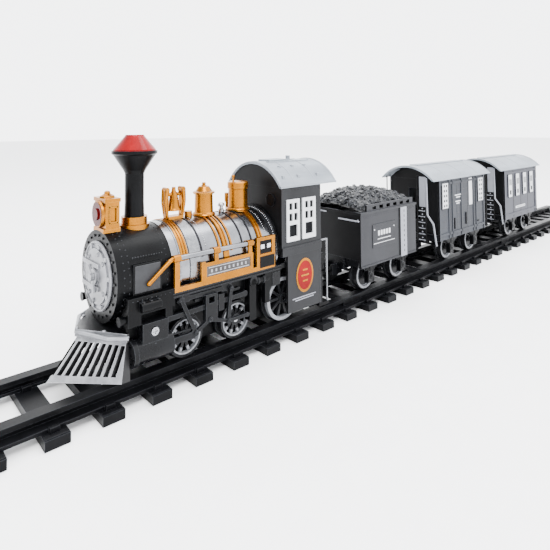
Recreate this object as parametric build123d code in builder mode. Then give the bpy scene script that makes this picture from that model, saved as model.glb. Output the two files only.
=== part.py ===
"""Battery-operated toy train standing on three lengths of straight track.

The locomotive heads towards +X, +Y is its left side and +Z is up. The origin
is on the ground under the middle of the track. All sizes are in millimetres.
"""
from build123d import *
from math import atan2, cos, hypot, pi, radians, sin, tan
import os

os.makedirs("parts", exist_ok=True)

# ---------------------------------------------------------------- clearances
RUNNING = 0.06          # radial clearance of a shaft in its bearing
JOINER_CLEARANCE = 0.10  # radial clearance of a track joiner
WHEEL_LIFT = 0.30       # tread above the rail
SIDE_GAP = 0.40         # gap between a moving piece and its neighbour

# --------------------------------------------------------------------- track
SLEEPER_PITCH = 25.4
SLEEPERS = 11
SECTION_LENGTH = SLEEPER_PITCH * SLEEPERS
SLEEPER_LENGTH = 68.0
SLEEPER_WIDTH = 11.0
SLEEPER_HEIGHT = 4.5
RAIL_HEIGHT = 6.5
RAIL_INNER = 17.0
HEAD_WIDTH = 6.5
HEAD_THICKNESS = 2.4
RAIL_FOOT = 10.5
FOOT_THICKNESS = 1.5
WEB_THICKNESS = 3.0
RAIL_TOP = SLEEPER_HEIGHT + RAIL_HEIGHT
RAIL_CENTRE = RAIL_INNER + HEAD_WIDTH / 2
JOINER_RADIUS = 1.5
JOINER_LENGTH = 6.0
JOINER_HEIGHT = SLEEPER_HEIGHT + 3.0
BOSS_LENGTH = 10.0
BOSS_WIDTH = 7.0

# -------------------------------------------------------------------- wheels
FLANGE_INNER = 14.4
FLANGE_WIDTH = 1.8
FLANGE_HEIGHT = 1.3
TREAD_WIDTH = 4.6
WHEEL_OUTER = FLANGE_INNER + FLANGE_WIDTH + TREAD_WIDTH
DRIVER_RADIUS = 11.0
TRAILING_RADIUS = 14.0
CAR_WHEEL_RADIUS = 11.2
AXLE_RADIUS = 1.5
SPOKES = 10
SPOKE_WIDTH = 1.5

# ---------------------------------------------------------------- locomotive
FRONT = 323.7           # front plane of the smokebox
BOILER_RADIUS = 24.2
BOILER_WALL = 1.8
BOILER_Z = RAIL_TOP + 49.1
SMOKEBOX_LENGTH = 34.0
CAB_FRONT = FRONT - 107.7
CAB_LENGTH = 37.3
CAB_REAR = CAB_FRONT - CAB_LENGTH
CAB_HALF = 28.0
WALL = 1.8
FRONT_AXLE = FRONT - 40.3
REAR_AXLE = FRONT - 75.5
TRAILING_AXLE = FRONT - 115.2
DECK_TOP = RAIL_TOP + 39.4
DECK_THICKNESS = 2.9
DECK_HALF = 27.5
EAVE_Z = RAIL_TOP + 88.5
ROOF_CROWN = RAIL_TOP + 104.6
ROOF_HALF = 28.7
ROOF_REAR = FRONT - 161.6
ROOF_SKIN = 1.6
PLOW_BACK = -4.6         # rear face of the cowcatcher from the smokebox front
BEAM_HALF = 13.6
BEAM_WALL = 1.6
BEAM_BOTTOM = RAIL_TOP + 4.0
BEAM_TOP = RAIL_TOP + 24.6
UPPER_HALF = 21.5
TAIL_TOP = RAIL_TOP + 13.0
TAIL_THICKNESS = 2.5

# --------------------------------------------------------------------- drive
MODULE = 0.6
PINION_TEETH = 10
GEAR_TEETH = 24
PRESSURE = radians(20)
BACKLASH = 0.16
GEAR_WIDTH = 2.0
GEAR_PLANE = -10.8      # centre of the large idler gear and the pinion
AXLE_GEAR_PLANE = -8.4  # centre of the axle gear and the small idler gear
CENTRES = MODULE * (PINION_TEETH + GEAR_TEETH) / 2 + 0.05
IDLER_ANGLE = radians(80)
MOTOR_ANGLE = radians(85)
DRIVER_Z = RAIL_TOP + DRIVER_RADIUS + WHEEL_LIFT
IDLER_X = REAR_AXLE - CENTRES * cos(IDLER_ANGLE)
IDLER_Z = DRIVER_Z + CENTRES * sin(IDLER_ANGLE)
MOTOR_X = IDLER_X - CENTRES * cos(MOTOR_ANGLE)
MOTOR_Z = IDLER_Z + CENTRES * sin(MOTOR_ANGLE)
MOTOR_RADIUS = 10.0
MOTOR_FLATS = 15.0
MOTOR_START = -5.4
MOTOR_LENGTH = 25.0
SHAFT_RADIUS = 1.0

# ------------------------------------------------------------------ vehicles
TENDER_X = 97.2
BOX_CAR_X = -34.0
COACH_X = -181.0
TENDER_LENGTH = 76.5
TENDER_TOP = RAIL_TOP + 62.6
CAR_LENGTH = 93.0
CAR_HALF = 26.5
TENDER_HALF = CAR_HALF + 3.0
CAR_ROOF_LENGTH = 119.0
CAR_ROOF_HALF = CAR_HALF + 2.0
CAR_EAVE = RAIL_TOP + 77.5
CAR_CROWN = RAIL_TOP + 90.5
CAR_FRAME_LENGTH = 100.0
SKIRT_BOTTOM = RAIL_TOP + 20.5
FLOOR_BOTTOM = RAIL_TOP + 26.0
FLOOR_THICKNESS = 1.6
TENDER_AXLES = 22.2
CAR_AXLES = 24.4
CAR_AXLE_Z = RAIL_TOP + CAR_WHEEL_RADIUS + WHEEL_LIFT
CAR_AXLE_RADIUS = 1.2
BOX_INNER = WHEEL_OUTER + 1.7
BOX_OUTER = 26.3
SKIRT_THICKNESS = 1.0
SOLEBAR_OUTER = CAR_HALF - SKIRT_THICKNESS - 0.2
AXLE_END = 25.4
POST_RADIUS = 2.0
POST_TOP = RAIL_TOP + 17.5
POST_BEHIND = 5.0
RING_HOLE = 3.0
RING_RADIUS = 5.0
BAR_BOTTOM = TAIL_TOP + 0.5
BAR_THICKNESS = 2.0
BAR_WIDTH = 5.0
HINGE_RADIUS = 1.2
HINGE_AHEAD = 3.0
EYE_RADIUS = 2.6

# ------------------------------------------------------------------ switches
KNOB_TRAVEL = 4.0
KNOB_X = FRONT - 94.0
SCREW_RADIUS = 1.6


def block(x, y, z, mode=Mode.ADD):
    """A box between (low, high) limits on each axis."""
    with Locations(((x[0] + x[1]) / 2, (y[0] + y[1]) / 2, (z[0] + z[1]) / 2)):
        Box(abs(x[1] - x[0]), abs(y[1] - y[0]), abs(z[1] - z[0]), mode=mode)


def rod_x(y, z, radius, x, mode=Mode.ADD):
    """A cylinder along X between two X limits."""
    with Locations(((x[0] + x[1]) / 2, y, z)):
        Cylinder(radius, abs(x[1] - x[0]), rotation=(0, 90, 0), mode=mode)


def rod_y(x, z, radius, y, mode=Mode.ADD):
    """A cylinder along Y between two Y limits."""
    with Locations((x, (y[0] + y[1]) / 2, z)):
        Cylinder(radius, abs(y[1] - y[0]), rotation=(90, 0, 0), mode=mode)


def rod_z(x, y, radius, z, mode=Mode.ADD):
    """A cylinder along Z between two Z limits."""
    with Locations((x, y, (z[0] + z[1]) / 2)):
        Cylinder(radius, abs(z[1] - z[0]), mode=mode)


def turned_z(x, y, z, profile, mode=Mode.ADD):
    """A turned piece on a vertical axis; profile is (radius, height) pairs."""
    points = [(0, profile[0][1])] + list(profile) + [(0, profile[-1][1])]
    with BuildSketch(Plane.XZ.offset(-y)) as half_section:
        with BuildLine():
            Polyline([(x + r, z + h) for r, h in points], close=True)
        make_face()
    revolve(half_section.sketch, axis=Axis((x, y, 0), (0, 0, 1)), mode=mode)


def side(sign, low, high):
    """Limits low to high measured outwards on the left (+1) or right (-1)."""
    return (sign * low, sign * high) if sign > 0 else (sign * high, sign * low)


def export(builder, name):
    builder.part.label = name
    export_step(builder.part, f"parts/{name}.step")


# ==================================================================== track
def rail(x0, x1, sign):
    """One rail with foot, web and flat head."""
    foot_low = RAIL_CENTRE - WEB_THICKNESS / 2 - 2.0
    head = (RAIL_INNER, RAIL_INNER + HEAD_WIDTH)
    web = (RAIL_CENTRE - WEB_THICKNESS / 2, RAIL_CENTRE + WEB_THICKNESS / 2)
    block((x0, x1), side(sign, foot_low, foot_low + RAIL_FOOT),
        (SLEEPER_HEIGHT, SLEEPER_HEIGHT + FOOT_THICKNESS))
    block((x0, x1), side(sign, *web), (SLEEPER_HEIGHT, RAIL_TOP))
    block((x0, x1), side(sign, *head), (RAIL_TOP - HEAD_THICKNESS, RAIL_TOP))


def rail_end(x, outward, sign, has_pin):
    """A boss at a rail end that carries a joiner pin or its socket."""
    boss = (RAIL_CENTRE - BOSS_WIDTH / 2, RAIL_CENTRE + BOSS_WIDTH / 2)
    y = sign * RAIL_CENTRE
    block((x, x - outward * BOSS_LENGTH), side(sign, *boss), (SLEEPER_HEIGHT, RAIL_TOP - 0.5))
    if has_pin:
        rod_x(y, JOINER_HEIGHT, JOINER_RADIUS, (x - outward, x + outward * JOINER_LENGTH))
    else:
        depth = JOINER_LENGTH + 1.0
        rod_x(y, JOINER_HEIGHT, JOINER_RADIUS + JOINER_CLEARANCE, (x + outward, x - outward * depth),
            Mode.SUBTRACT)


def track_section(centre):
    """Sleepers, two rails and the joiners at both ends."""
    x0 = centre - SECTION_LENGTH / 2
    x1 = centre + SECTION_LENGTH / 2
    for i in range(SLEEPERS):
        x = x0 + SLEEPER_PITCH * (i + 0.5)
        block((x - SLEEPER_WIDTH / 2, x + SLEEPER_WIDTH / 2), (-SLEEPER_LENGTH / 2, SLEEPER_LENGTH / 2),
            (0, SLEEPER_HEIGHT))
    for sign in (1, -1):
        rail(x0, x1, sign)
    rail_end(x1, 1, 1, True)
    rail_end(x1, 1, -1, False)
    rail_end(x0, -1, -1, True)
    rail_end(x0, -1, 1, False)


with BuildPart() as track_front:
    track_section(SECTION_LENGTH)
export(track_front, "track_front")

with BuildPart() as track_middle:
    track_section(0)
export(track_middle, "track_middle")

with BuildPart() as track_rear:
    track_section(-SECTION_LENGTH)
export(track_rear, "track_rear")


# =================================================================== wheels
def spoked_wheel(x, z, radius, sign, bore):
    """A spoked driving wheel with flange, rim, spokes and hub."""
    rim = radius - 2.2
    face = WHEEL_OUTER - 1.4
    rod_y(x, z, radius + FLANGE_HEIGHT, side(sign, FLANGE_INNER, FLANGE_INNER + FLANGE_WIDTH))
    rod_y(x, z, radius, side(sign, FLANGE_INNER, WHEEL_OUTER))
    rod_y(x, z, rim, side(sign, FLANGE_INNER - 1, WHEEL_OUTER + 1), Mode.SUBTRACT)
    for i in range(SPOKES // 2):
        with Locations(Location((x, sign * (FLANGE_INNER + 1.0 + face) / 2, z),
                (0, 180 * i / (SPOKES // 2), 0))):
            Box(2 * rim + 0.6, face - FLANGE_INNER - 1.0, SPOKE_WIDTH)
    rod_y(x, z, 3.2, side(sign, FLANGE_INNER, WHEEL_OUTER))
    rod_y(x, z, bore, side(sign, FLANGE_INNER - 1, WHEEL_OUTER + 1), Mode.SUBTRACT)


def disc_wheel(x, z, radius, sign):
    """A dished disc wheel with flange and hub."""
    rod_y(x, z, radius + FLANGE_HEIGHT, side(sign, FLANGE_INNER, FLANGE_INNER + FLANGE_WIDTH))
    rod_y(x, z, radius, side(sign, FLANGE_INNER, WHEEL_OUTER))
    rod_y(x, z, radius - 2.2, side(sign, WHEEL_OUTER - 1.6, WHEEL_OUTER + 1), Mode.SUBTRACT)
    rod_y(x, z, 3.0, side(sign, WHEEL_OUTER - 2.0, WHEEL_OUTER))


def car_wheelset(x):
    """Two disc wheels moulded on one axle."""
    for sign in (1, -1):
        disc_wheel(x, CAR_AXLE_Z, CAR_WHEEL_RADIUS, sign)
    rod_y(x, CAR_AXLE_Z, CAR_AXLE_RADIUS, (-AXLE_END, AXLE_END))


with BuildPart() as front_drivers:
    for sign in (1, -1):
        spoked_wheel(FRONT_AXLE, DRIVER_Z, DRIVER_RADIUS, sign, AXLE_RADIUS)
export(front_drivers, "front_drivers")

with BuildPart() as front_driver_axle:
    rod_y(FRONT_AXLE, DRIVER_Z, AXLE_RADIUS, (-WHEEL_OUTER, WHEEL_OUTER))
export(front_driver_axle, "front_driver_axle")

with BuildPart() as rear_drivers:
    for sign in (1, -1):
        spoked_wheel(REAR_AXLE, DRIVER_Z, DRIVER_RADIUS, sign, AXLE_RADIUS)
export(rear_drivers, "rear_drivers")

with BuildPart() as rear_driver_axle:
    rod_y(REAR_AXLE, DRIVER_Z, AXLE_RADIUS, (-WHEEL_OUTER, WHEEL_OUTER))
export(rear_driver_axle, "rear_driver_axle")

TRAILING_Z = RAIL_TOP + TRAILING_RADIUS + WHEEL_LIFT
with BuildPart() as trailing_wheels:
    for sign in (1, -1):
        spoked_wheel(TRAILING_AXLE, TRAILING_Z, TRAILING_RADIUS, sign, AXLE_RADIUS)
export(trailing_wheels, "trailing_wheels")

with BuildPart() as trailing_axle:
    rod_y(TRAILING_AXLE, TRAILING_Z, AXLE_RADIUS, (-WHEEL_OUTER, WHEEL_OUTER))
export(trailing_axle, "trailing_axle")


# ==================================================================== gears
def involute_point(base, radius, turn):
    """A point on an involute of the base circle, turned about its centre."""
    t = ((radius / base) ** 2 - 1) ** 0.5 if radius > base else 0.0
    angle = turn + t - atan2(t, 1)
    return radius * cos(angle), radius * sin(angle)


def tooth_outline(teeth, phase):
    """One tooth as a closed outline, centred on the angle phase."""
    pitch = MODULE * teeth / 2
    base = pitch * cos(PRESSURE)
    tip = pitch + MODULE
    root = pitch - 1.25 * MODULE
    start = max(base, root)
    half = pi / (2 * teeth) - BACKLASH / (2 * pitch) + tan(PRESSURE) - PRESSURE
    radii = [start + (tip - start) * i / 3 for i in range(4)]
    lower = [involute_point(base, r, -half) for r in radii]
    foot = (root * cos(half), root * sin(half))
    outline = [(foot[0], -foot[1])] + lower + [(x, -y) for x, y in reversed(lower)] + [foot]
    return [(x * cos(phase) - y * sin(phase), x * sin(phase) + y * cos(phase)) for x, y in outline]


def gear(x, z, teeth, y, phase):
    """A spur gear on a Y axis, centred on y, with one tooth at angle phase."""
    outline = []
    for i in range(teeth):
        outline += tooth_outline(teeth, phase + 2 * pi * i / teeth)
    with BuildSketch(Plane((x, y + GEAR_WIDTH / 2, z), x_dir=(1, 0, 0), z_dir=(0, -1, 0))) as face:
        with BuildLine():
            Polyline(outline, close=True)
        make_face()
    extrude(face.sketch, amount=GEAR_WIDTH)


def meshing_phase(teeth, towards):
    """The phase that puts a gap of a gear at the angle towards."""
    return towards + pi / teeth


TO_IDLER = pi - IDLER_ANGLE
TO_MOTOR = pi - MOTOR_ANGLE

with BuildPart() as axle_gear:
    gear(REAR_AXLE, DRIVER_Z, GEAR_TEETH, AXLE_GEAR_PLANE, TO_IDLER)
    rod_y(REAR_AXLE, DRIVER_Z, 3.0, (AXLE_GEAR_PLANE - 1.0, AXLE_GEAR_PLANE + 1.0))
    rod_y(REAR_AXLE, DRIVER_Z, AXLE_RADIUS, (-20, 0), Mode.SUBTRACT)
export(axle_gear, "axle_gear")

with BuildPart() as idler_gear:
    gear(IDLER_X, IDLER_Z, PINION_TEETH, AXLE_GEAR_PLANE, meshing_phase(PINION_TEETH, TO_IDLER + pi))
    gear(IDLER_X, IDLER_Z, GEAR_TEETH, GEAR_PLANE, TO_MOTOR)
    rod_y(IDLER_X, IDLER_Z, 2.0, (GEAR_PLANE, AXLE_GEAR_PLANE))
    rod_y(IDLER_X, IDLER_Z, SHAFT_RADIUS, (-BEAM_HALF + 0.1, MOTOR_START - 0.3))
export(idler_gear, "idler_gear")

with BuildPart() as motor_pinion:
    gear(MOTOR_X, MOTOR_Z, PINION_TEETH, GEAR_PLANE, meshing_phase(PINION_TEETH, TO_MOTOR + pi))
    rod_y(MOTOR_X, MOTOR_Z, SHAFT_RADIUS, (GEAR_PLANE, MOTOR_START + 6.0))
export(motor_pinion, "motor_pinion")

MOTOR_BAY_X = (MOTOR_X - MOTOR_RADIUS - 0.6, MOTOR_X + MOTOR_RADIUS + 0.6)
MOTOR_END = MOTOR_START + MOTOR_LENGTH
with BuildPart() as drive_motor:
    rod_y(MOTOR_X, MOTOR_Z, MOTOR_RADIUS, (MOTOR_START, MOTOR_END))
    block(MOTOR_BAY_X, (MOTOR_START, MOTOR_END), (MOTOR_Z + MOTOR_FLATS / 2, MOTOR_Z + 12), Mode.SUBTRACT)
    block(MOTOR_BAY_X, (MOTOR_START, MOTOR_END), (MOTOR_Z - 12, MOTOR_Z - MOTOR_FLATS / 2), Mode.SUBTRACT)
    rod_y(MOTOR_X, MOTOR_Z, SHAFT_RADIUS + RUNNING, (MOTOR_START - 1, MOTOR_START + 7.0), Mode.SUBTRACT)
    for dx in (-4, 4):
        block((MOTOR_X + dx - 0.8, MOTOR_X + dx + 0.8), (MOTOR_START + 1, MOTOR_START + 3),
            (MOTOR_Z + 7, MOTOR_Z + 10))
export(drive_motor, "drive_motor")


# ================================================================== chassis
def axle_bore(x, z, radius):
    rod_y(x, z, radius + RUNNING, (-40, 40), Mode.SUBTRACT)


def chassis_beam():
    """The lower box between the wheels, with the gearbox wall inside."""
    x0, x1 = CAB_REAR - 4.0, FRONT - 8.0
    block((x0, x1), (-BEAM_HALF, BEAM_HALF), (BEAM_BOTTOM, BEAM_TOP + 2))
    inside = BEAM_HALF - BEAM_WALL
    block((x0 + 2, x1 - 16), (-inside, inside), (BEAM_BOTTOM + 1.5, DECK_TOP - DECK_THICKNESS),
        Mode.SUBTRACT)


def chassis_upper():
    """The wider box above the wheels that carries the deck."""
    x0, x1 = CAB_REAR - 4.0, FRONT - SMOKEBOX_LENGTH + 2
    rear = TRAILING_AXLE + TRAILING_RADIUS + FLANGE_HEIGHT + 1
    inside = UPPER_HALF - BEAM_WALL
    low = DECK_TOP - DECK_THICKNESS
    block((rear, x1), (-UPPER_HALF, UPPER_HALF), (BEAM_TOP, low))
    block((rear + 2, x1 - 2), (-inside, inside), (BEAM_TOP + 1.5, low), Mode.SUBTRACT)
    block((rear - 2, x1), (-BEAM_HALF + BEAM_WALL, BEAM_HALF - BEAM_WALL), (BEAM_TOP - 1, BEAM_TOP + 4),
        Mode.SUBTRACT)
    block((x0, rear + 2), (-BEAM_HALF, BEAM_HALF), (BEAM_TOP, low))
    block((x0 + 2, rear + 3), (-BEAM_HALF + BEAM_WALL, BEAM_HALF - BEAM_WALL), (BEAM_BOTTOM + 1.5, low),
        Mode.SUBTRACT)
    block((CAB_FRONT, FRONT - SMOKEBOX_LENGTH + 6), (-DECK_HALF, DECK_HALF), (low, DECK_TOP))
    block((x0, CAB_FRONT + 1), (-CAB_HALF + WALL, CAB_HALF - WALL), (low, DECK_TOP))


def chassis_front():
    """The saddle, the front beam and the side frames at the smokebox."""
    block((FRONT - 28, FRONT + PLOW_BACK), (-UPPER_HALF, UPPER_HALF), (RAIL_TOP + 13, RAIL_TOP + 33))
    block((FRONT - 12, FRONT + PLOW_BACK), (-17, 17), (RAIL_TOP + 8, RAIL_TOP + 24.5))
    for sign in (1, -1):
        block((FRONT - 29.4, FRONT - 2.9), side(sign, 23.0, DECK_HALF), (RAIL_TOP + 33.0, RAIL_TOP + 42.0))
        block((FRONT - 10, FRONT - 2.9), side(sign, 21.0, DECK_HALF), (RAIL_TOP + 28.0, RAIL_TOP + 36.0))
        block((FRONT - 28, FRONT - 24), side(sign, 21.0, DECK_HALF), (RAIL_TOP + 28.0, RAIL_TOP + 36.0))
        rod_x(sign * (DECK_HALF + 1.5), RAIL_TOP + 37, 2.4, (FRONT - 20, FRONT - 9))
    rod_x(0, BOILER_Z, BOILER_RADIUS, (FRONT - SMOKEBOX_LENGTH, FRONT + 6), Mode.SUBTRACT)
    block((FRONT - SMOKEBOX_LENGTH - 8, FRONT - SMOKEBOX_LENGTH), (-26, 26), (DECK_TOP, RAIL_TOP + 43),
        Mode.SUBTRACT)


def chassis_gearbox():
    """Bearing wall, motor cradle and the openings for gears and motor."""
    inner = AXLE_GEAR_PLANE + GEAR_WIDTH / 2 + 0.5
    slot_x = (REAR_AXLE - 12.5, REAR_AXLE + 9.5)
    block(slot_x, (-BEAM_HALF + BEAM_WALL, inner), (BEAM_BOTTOM - 1, BEAM_BOTTOM + 3), Mode.SUBTRACT)
    block((REAR_AXLE - 14, REAR_AXLE + 12), (inner, MOTOR_START), (BEAM_BOTTOM, DECK_TOP - 1))
    block((REAR_AXLE - 14, REAR_AXLE + 12), (-BEAM_HALF, -BEAM_HALF + BEAM_WALL), (BEAM_TOP, DECK_TOP - 1))
    block(MOTOR_BAY_X, (MOTOR_START, MOTOR_END), (MOTOR_Z - MOTOR_FLATS / 2, DECK_TOP + 1), Mode.SUBTRACT)
    for x in (MOTOR_X - 7, MOTOR_X + 5):
        block((x, x + 2), (MOTOR_START, BEAM_HALF - 1), (BEAM_BOTTOM, MOTOR_Z - MOTOR_FLATS / 2))
    rod_y(MOTOR_X, MOTOR_Z, SHAFT_RADIUS + RUNNING, (-BEAM_HALF + BEAM_WALL, MOTOR_START + 1),
        Mode.SUBTRACT)
    rod_y(IDLER_X, IDLER_Z, SHAFT_RADIUS + RUNNING, (-BEAM_HALF - 1, MOTOR_START + 1), Mode.SUBTRACT)


def chassis_fittings():
    """Axle hangers, rear steps, coupling tail and drawbar post."""
    post_x = CAB_REAR - 18.0
    block((post_x - 4.5, CAB_REAR), (-9, 9), (TAIL_TOP - TAIL_THICKNESS, TAIL_TOP))
    rod_z(post_x, 0, POST_RADIUS, (TAIL_TOP - 1, POST_TOP))
    for sign in (1, -1):
        block((FRONT - 87, FRONT - 82), side(sign, 21.4, 26.4), (RAIL_TOP + 10, DECK_TOP - 1))
        rod_y(FRONT - 84.5, RAIL_TOP + 33, 2.2, side(sign, 26, 27.6))
        rod_x(sign * 25.5, RAIL_TOP + 33.0, 2.1, (FRONT - 97, FRONT - 86))
        block((FRONT - 107, FRONT - 94), side(sign, 23.6, 27.0), (RAIL_TOP + 27, DECK_TOP - 1))
        block((FRONT - 98, FRONT - 94), side(sign, 23.6, 27.0), (RAIL_TOP + 18, RAIL_TOP + 28))
        block((CAB_REAR - 11, CAB_REAR - 0.6), side(sign, 16, 25.5), (RAIL_TOP + 2.5, RAIL_TOP + 4.5))
        block((CAB_REAR - 4, CAB_REAR - 1.5), side(sign, 13, 25.5), (RAIL_TOP + 2.5, RAIL_TOP + 26))
        block((CAB_REAR - 10, CAB_REAR - 1.5), side(sign, 13, 23.4), (RAIL_TOP + 15, RAIL_TOP + 17))


with BuildPart() as locomotive_chassis:
    chassis_beam()
    chassis_upper()
    chassis_front()
    chassis_gearbox()
    chassis_fittings()
    axle_bore(FRONT_AXLE, DRIVER_Z, AXLE_RADIUS)
    axle_bore(REAR_AXLE, DRIVER_Z, AXLE_RADIUS)
    axle_bore(TRAILING_AXLE, TRAILING_Z, AXLE_RADIUS)
    block((KNOB_X - 6, KNOB_X + 6), (-5, 5), (BEAM_BOTTOM - 1, BEAM_BOTTOM + 0.6), Mode.SUBTRACT)
    block((KNOB_X - 3.8, KNOB_X + 3.8), (-1.8, 1.8), (BEAM_BOTTOM - 1, BEAM_BOTTOM + 3), Mode.SUBTRACT)
export(locomotive_chassis, "locomotive_chassis")

with BuildPart() as power_switch_knob:
    x = KNOB_X - KNOB_TRAVEL / 2
    block((x - 3.0, x + 3.0), (-2.5, 2.5), (BEAM_BOTTOM - 0.9, BEAM_BOTTOM + 0.3))
    block((x - 1.4, x + 1.4), (-1.4, 1.4), (BEAM_BOTTOM, BEAM_BOTTOM + 4))
    for i in (-1.8, 0, 1.8):
        block((x + i - 0.3, x + i + 0.3), (-2.5, 2.5), (BEAM_BOTTOM - 1.2, BEAM_BOTTOM - 0.7))
export(power_switch_knob, "power_switch_knob")


# ==================================================== cylinders, valve gear
def cylinder_side(sign):
    """A valve chest over a round cylinder, with the moulded valve gear."""
    low = UPPER_HALF
    x0, x1 = FRONT - 25.0, FRONT - 10.5
    block((x0, x1), side(sign, low, 28.5), (RAIL_TOP + 13, RAIL_TOP + 28))
    block((x0 + 1, x1 - 1), side(sign, low, 27.0), (RAIL_TOP + 9, RAIL_TOP + 16))
    rod_x(sign * 24.2, RAIL_TOP + 13.5, 6.2, (FRONT - 28, FRONT - 5.2))
    rod_x(sign * 24.2, RAIL_TOP + 13.5, 6.8, (FRONT - 7.6, FRONT - 5.2))
    rod_y(FRONT - 17.3, RAIL_TOP + 23.2, 2.6, side(sign, 27.3, 29), Mode.SUBTRACT)
    rod_y(FRONT - 17.3, RAIL_TOP + 15.5, 1.8, side(sign, 28, 29.2))
    block((FRONT - 29, FRONT - 4), side(sign, low - 6, low), (RAIL_TOP + 6, RAIL_TOP + 28.5), Mode.SUBTRACT)


def slanted_bar(start, end, y, width):
    """A flat bar between two (x, z) points in a side plane."""
    length = hypot(end[0] - start[0], end[1] - start[1])
    tilt = -atan2(end[1] - start[1], end[0] - start[0]) * 180 / pi
    middle = ((start[0] + end[0]) / 2, (y[0] + y[1]) / 2, (start[1] + end[1]) / 2)
    with Locations(Location(middle, (0, tilt, 0))):
        Box(length, abs(y[1] - y[0]), width)
    for x, z in (start, end):
        rod_y(x, z, width / 2 + 0.5, y)


def valve_gear(sign):
    """Crosshead, guide bars, links and rods, moulded in one piece."""
    y = side(sign, 23.2, 25.2)
    outer = side(sign, 24.6, 26.6)
    slanted_bar((FRONT - 26, RAIL_TOP + 25.5), (FRONT - 79.5, RAIL_TOP + 27.0), y, 2.6)
    slanted_bar((FRONT - 25.5, RAIL_TOP + 13.5), (FRONT - 41.5, RAIL_TOP + 13.5), outer, 3.2)
    slanted_bar((FRONT - 34, RAIL_TOP + 34.6), (FRONT - 43.5, RAIL_TOP + 14.0), outer, 2.2)
    slanted_bar((FRONT - 43.5, RAIL_TOP + 14.0), (FRONT - 53, RAIL_TOP + 19.0), outer, 1.8)
    slanted_bar((FRONT - 53, RAIL_TOP + 18.8), (FRONT - 66, RAIL_TOP + 14.5), outer, 1.8)
    slanted_bar((FRONT - 66, RAIL_TOP + 14.5), (FRONT - 80.2, RAIL_TOP + 14.5), outer, 1.8)
    slanted_bar((FRONT - 68, RAIL_TOP + 33), (FRONT - 66, RAIL_TOP + 14.5), outer, 2.0)
    block((FRONT - 58, FRONT - 50), side(sign, 23.2, 26.6), (RAIL_TOP + 18, RAIL_TOP + 33))
    block((FRONT - 56, FRONT - 52), side(sign, 22, 28), (RAIL_TOP + 28.0, RAIL_TOP + 31.5), Mode.SUBTRACT)
    slanted_bar((FRONT - 34, RAIL_TOP + 33.8), (FRONT - 68, RAIL_TOP + 33.8), y, 2.4)
    for x in (FRONT - 38, FRONT - 64):
        block((x - 2, x + 2), side(sign, 23.2, 25.2), (RAIL_TOP + 32, DECK_TOP - DECK_THICKNESS))


with BuildPart() as cylinder_blocks:
    for sign in (1, -1):
        cylinder_side(sign)
        valve_gear(sign)
export(cylinder_blocks, "cylinder_blocks")


# =============================================================== cowcatcher
def plow_outline(grow, back):
    """Half-symmetric outline of the plow at the ground, grown inwards."""
    nose, corner, half = 27.0 - grow * 1.4, -grow * 0.2, 27.0 - grow
    return [(nose, 0), (corner, half), (back, half), (back, -half), (corner, -half)]


def beam_outline(grow, back):
    """Outline of the plow where it meets the beam."""
    nose, corner, half = 12.0 - grow * 1.2, -3.7 - grow * 0.2, 24.0 - grow
    return [(nose, 0), (corner, half), (back, half), (back, -half), (corner, -half)]


def plow(grow, back, low, high, mode):
    """The lofted plow body between the ground and the beam."""
    sections = []
    for height, outline in ((low, plow_outline(grow, back)), (high, beam_outline(grow, back))):
        with BuildSketch(Plane.XY.offset(height)) as section:
            with BuildLine():
                Polyline([(FRONT + x, y) for x, y in outline], close=True)
            make_face()
        sections.append(section.sketch)
    loft(sections, mode=mode)


with BuildPart() as cowcatcher:
    plow(0, PLOW_BACK, RAIL_TOP + 1.8, RAIL_TOP + 20.5, Mode.ADD)
    plow(2.0, PLOW_BACK - 0.6, RAIL_TOP + 1.7, RAIL_TOP + 20.6, Mode.SUBTRACT)
    for i in range(-8, 9):
        block((FRONT + PLOW_BACK, FRONT + 30), (i * 2.9 - 0.95, i * 2.9 + 0.95),
            (RAIL_TOP + 4.6, RAIL_TOP + 18.5), Mode.SUBTRACT)
    with BuildSketch(Plane.XY.offset(RAIL_TOP + 20.5)):
        with BuildLine():
            Polyline([(FRONT + x, y) for x, y in beam_outline(-1.2, PLOW_BACK)], close=True)
        make_face()
    extrude(amount=4.0)
export(cowcatcher, "cowcatcher")


# =================================================================== boiler
def tube_x(x0, x1, radius, wall):
    rod_x(0, BOILER_Z, radius, (x0, x1))
    rod_x(0, BOILER_Z, radius - wall, (x0 - 1, x1 + 1), Mode.SUBTRACT)


SMOKEBOX_REAR = FRONT - SMOKEBOX_LENGTH
DOOR_RADIUS = BOILER_RADIUS - 6.2
with BuildPart() as smokebox_shell:
    tube_x(SMOKEBOX_REAR, FRONT, BOILER_RADIUS, BOILER_WALL)
    rod_x(0, BOILER_Z, BOILER_RADIUS - 0.5, (FRONT - 2, FRONT))
    rod_x(0, BOILER_Z, BOILER_RADIUS, (FRONT, FRONT + 1.2))
    rod_x(0, BOILER_Z, DOOR_RADIUS + 0.4, (FRONT, FRONT + 2), Mode.SUBTRACT)
    with Locations(Location((FRONT + 1.2, 0, BOILER_Z), (0, 90, 0))):
        with PolarLocations(BOILER_RADIUS - 2.9, 24):
            Cylinder(0.7, 1.2)
    for sign in (1, -1):
        block((FRONT - 23, FRONT - 7), side(sign, 20, 24.8), (RAIL_TOP + 42.4, RAIL_TOP + 58))
    rod_x(0, BOILER_Z, BOILER_RADIUS - BOILER_WALL, (FRONT - 30, FRONT - 2), Mode.SUBTRACT)
export(smokebox_shell, "smokebox_shell")

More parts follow.
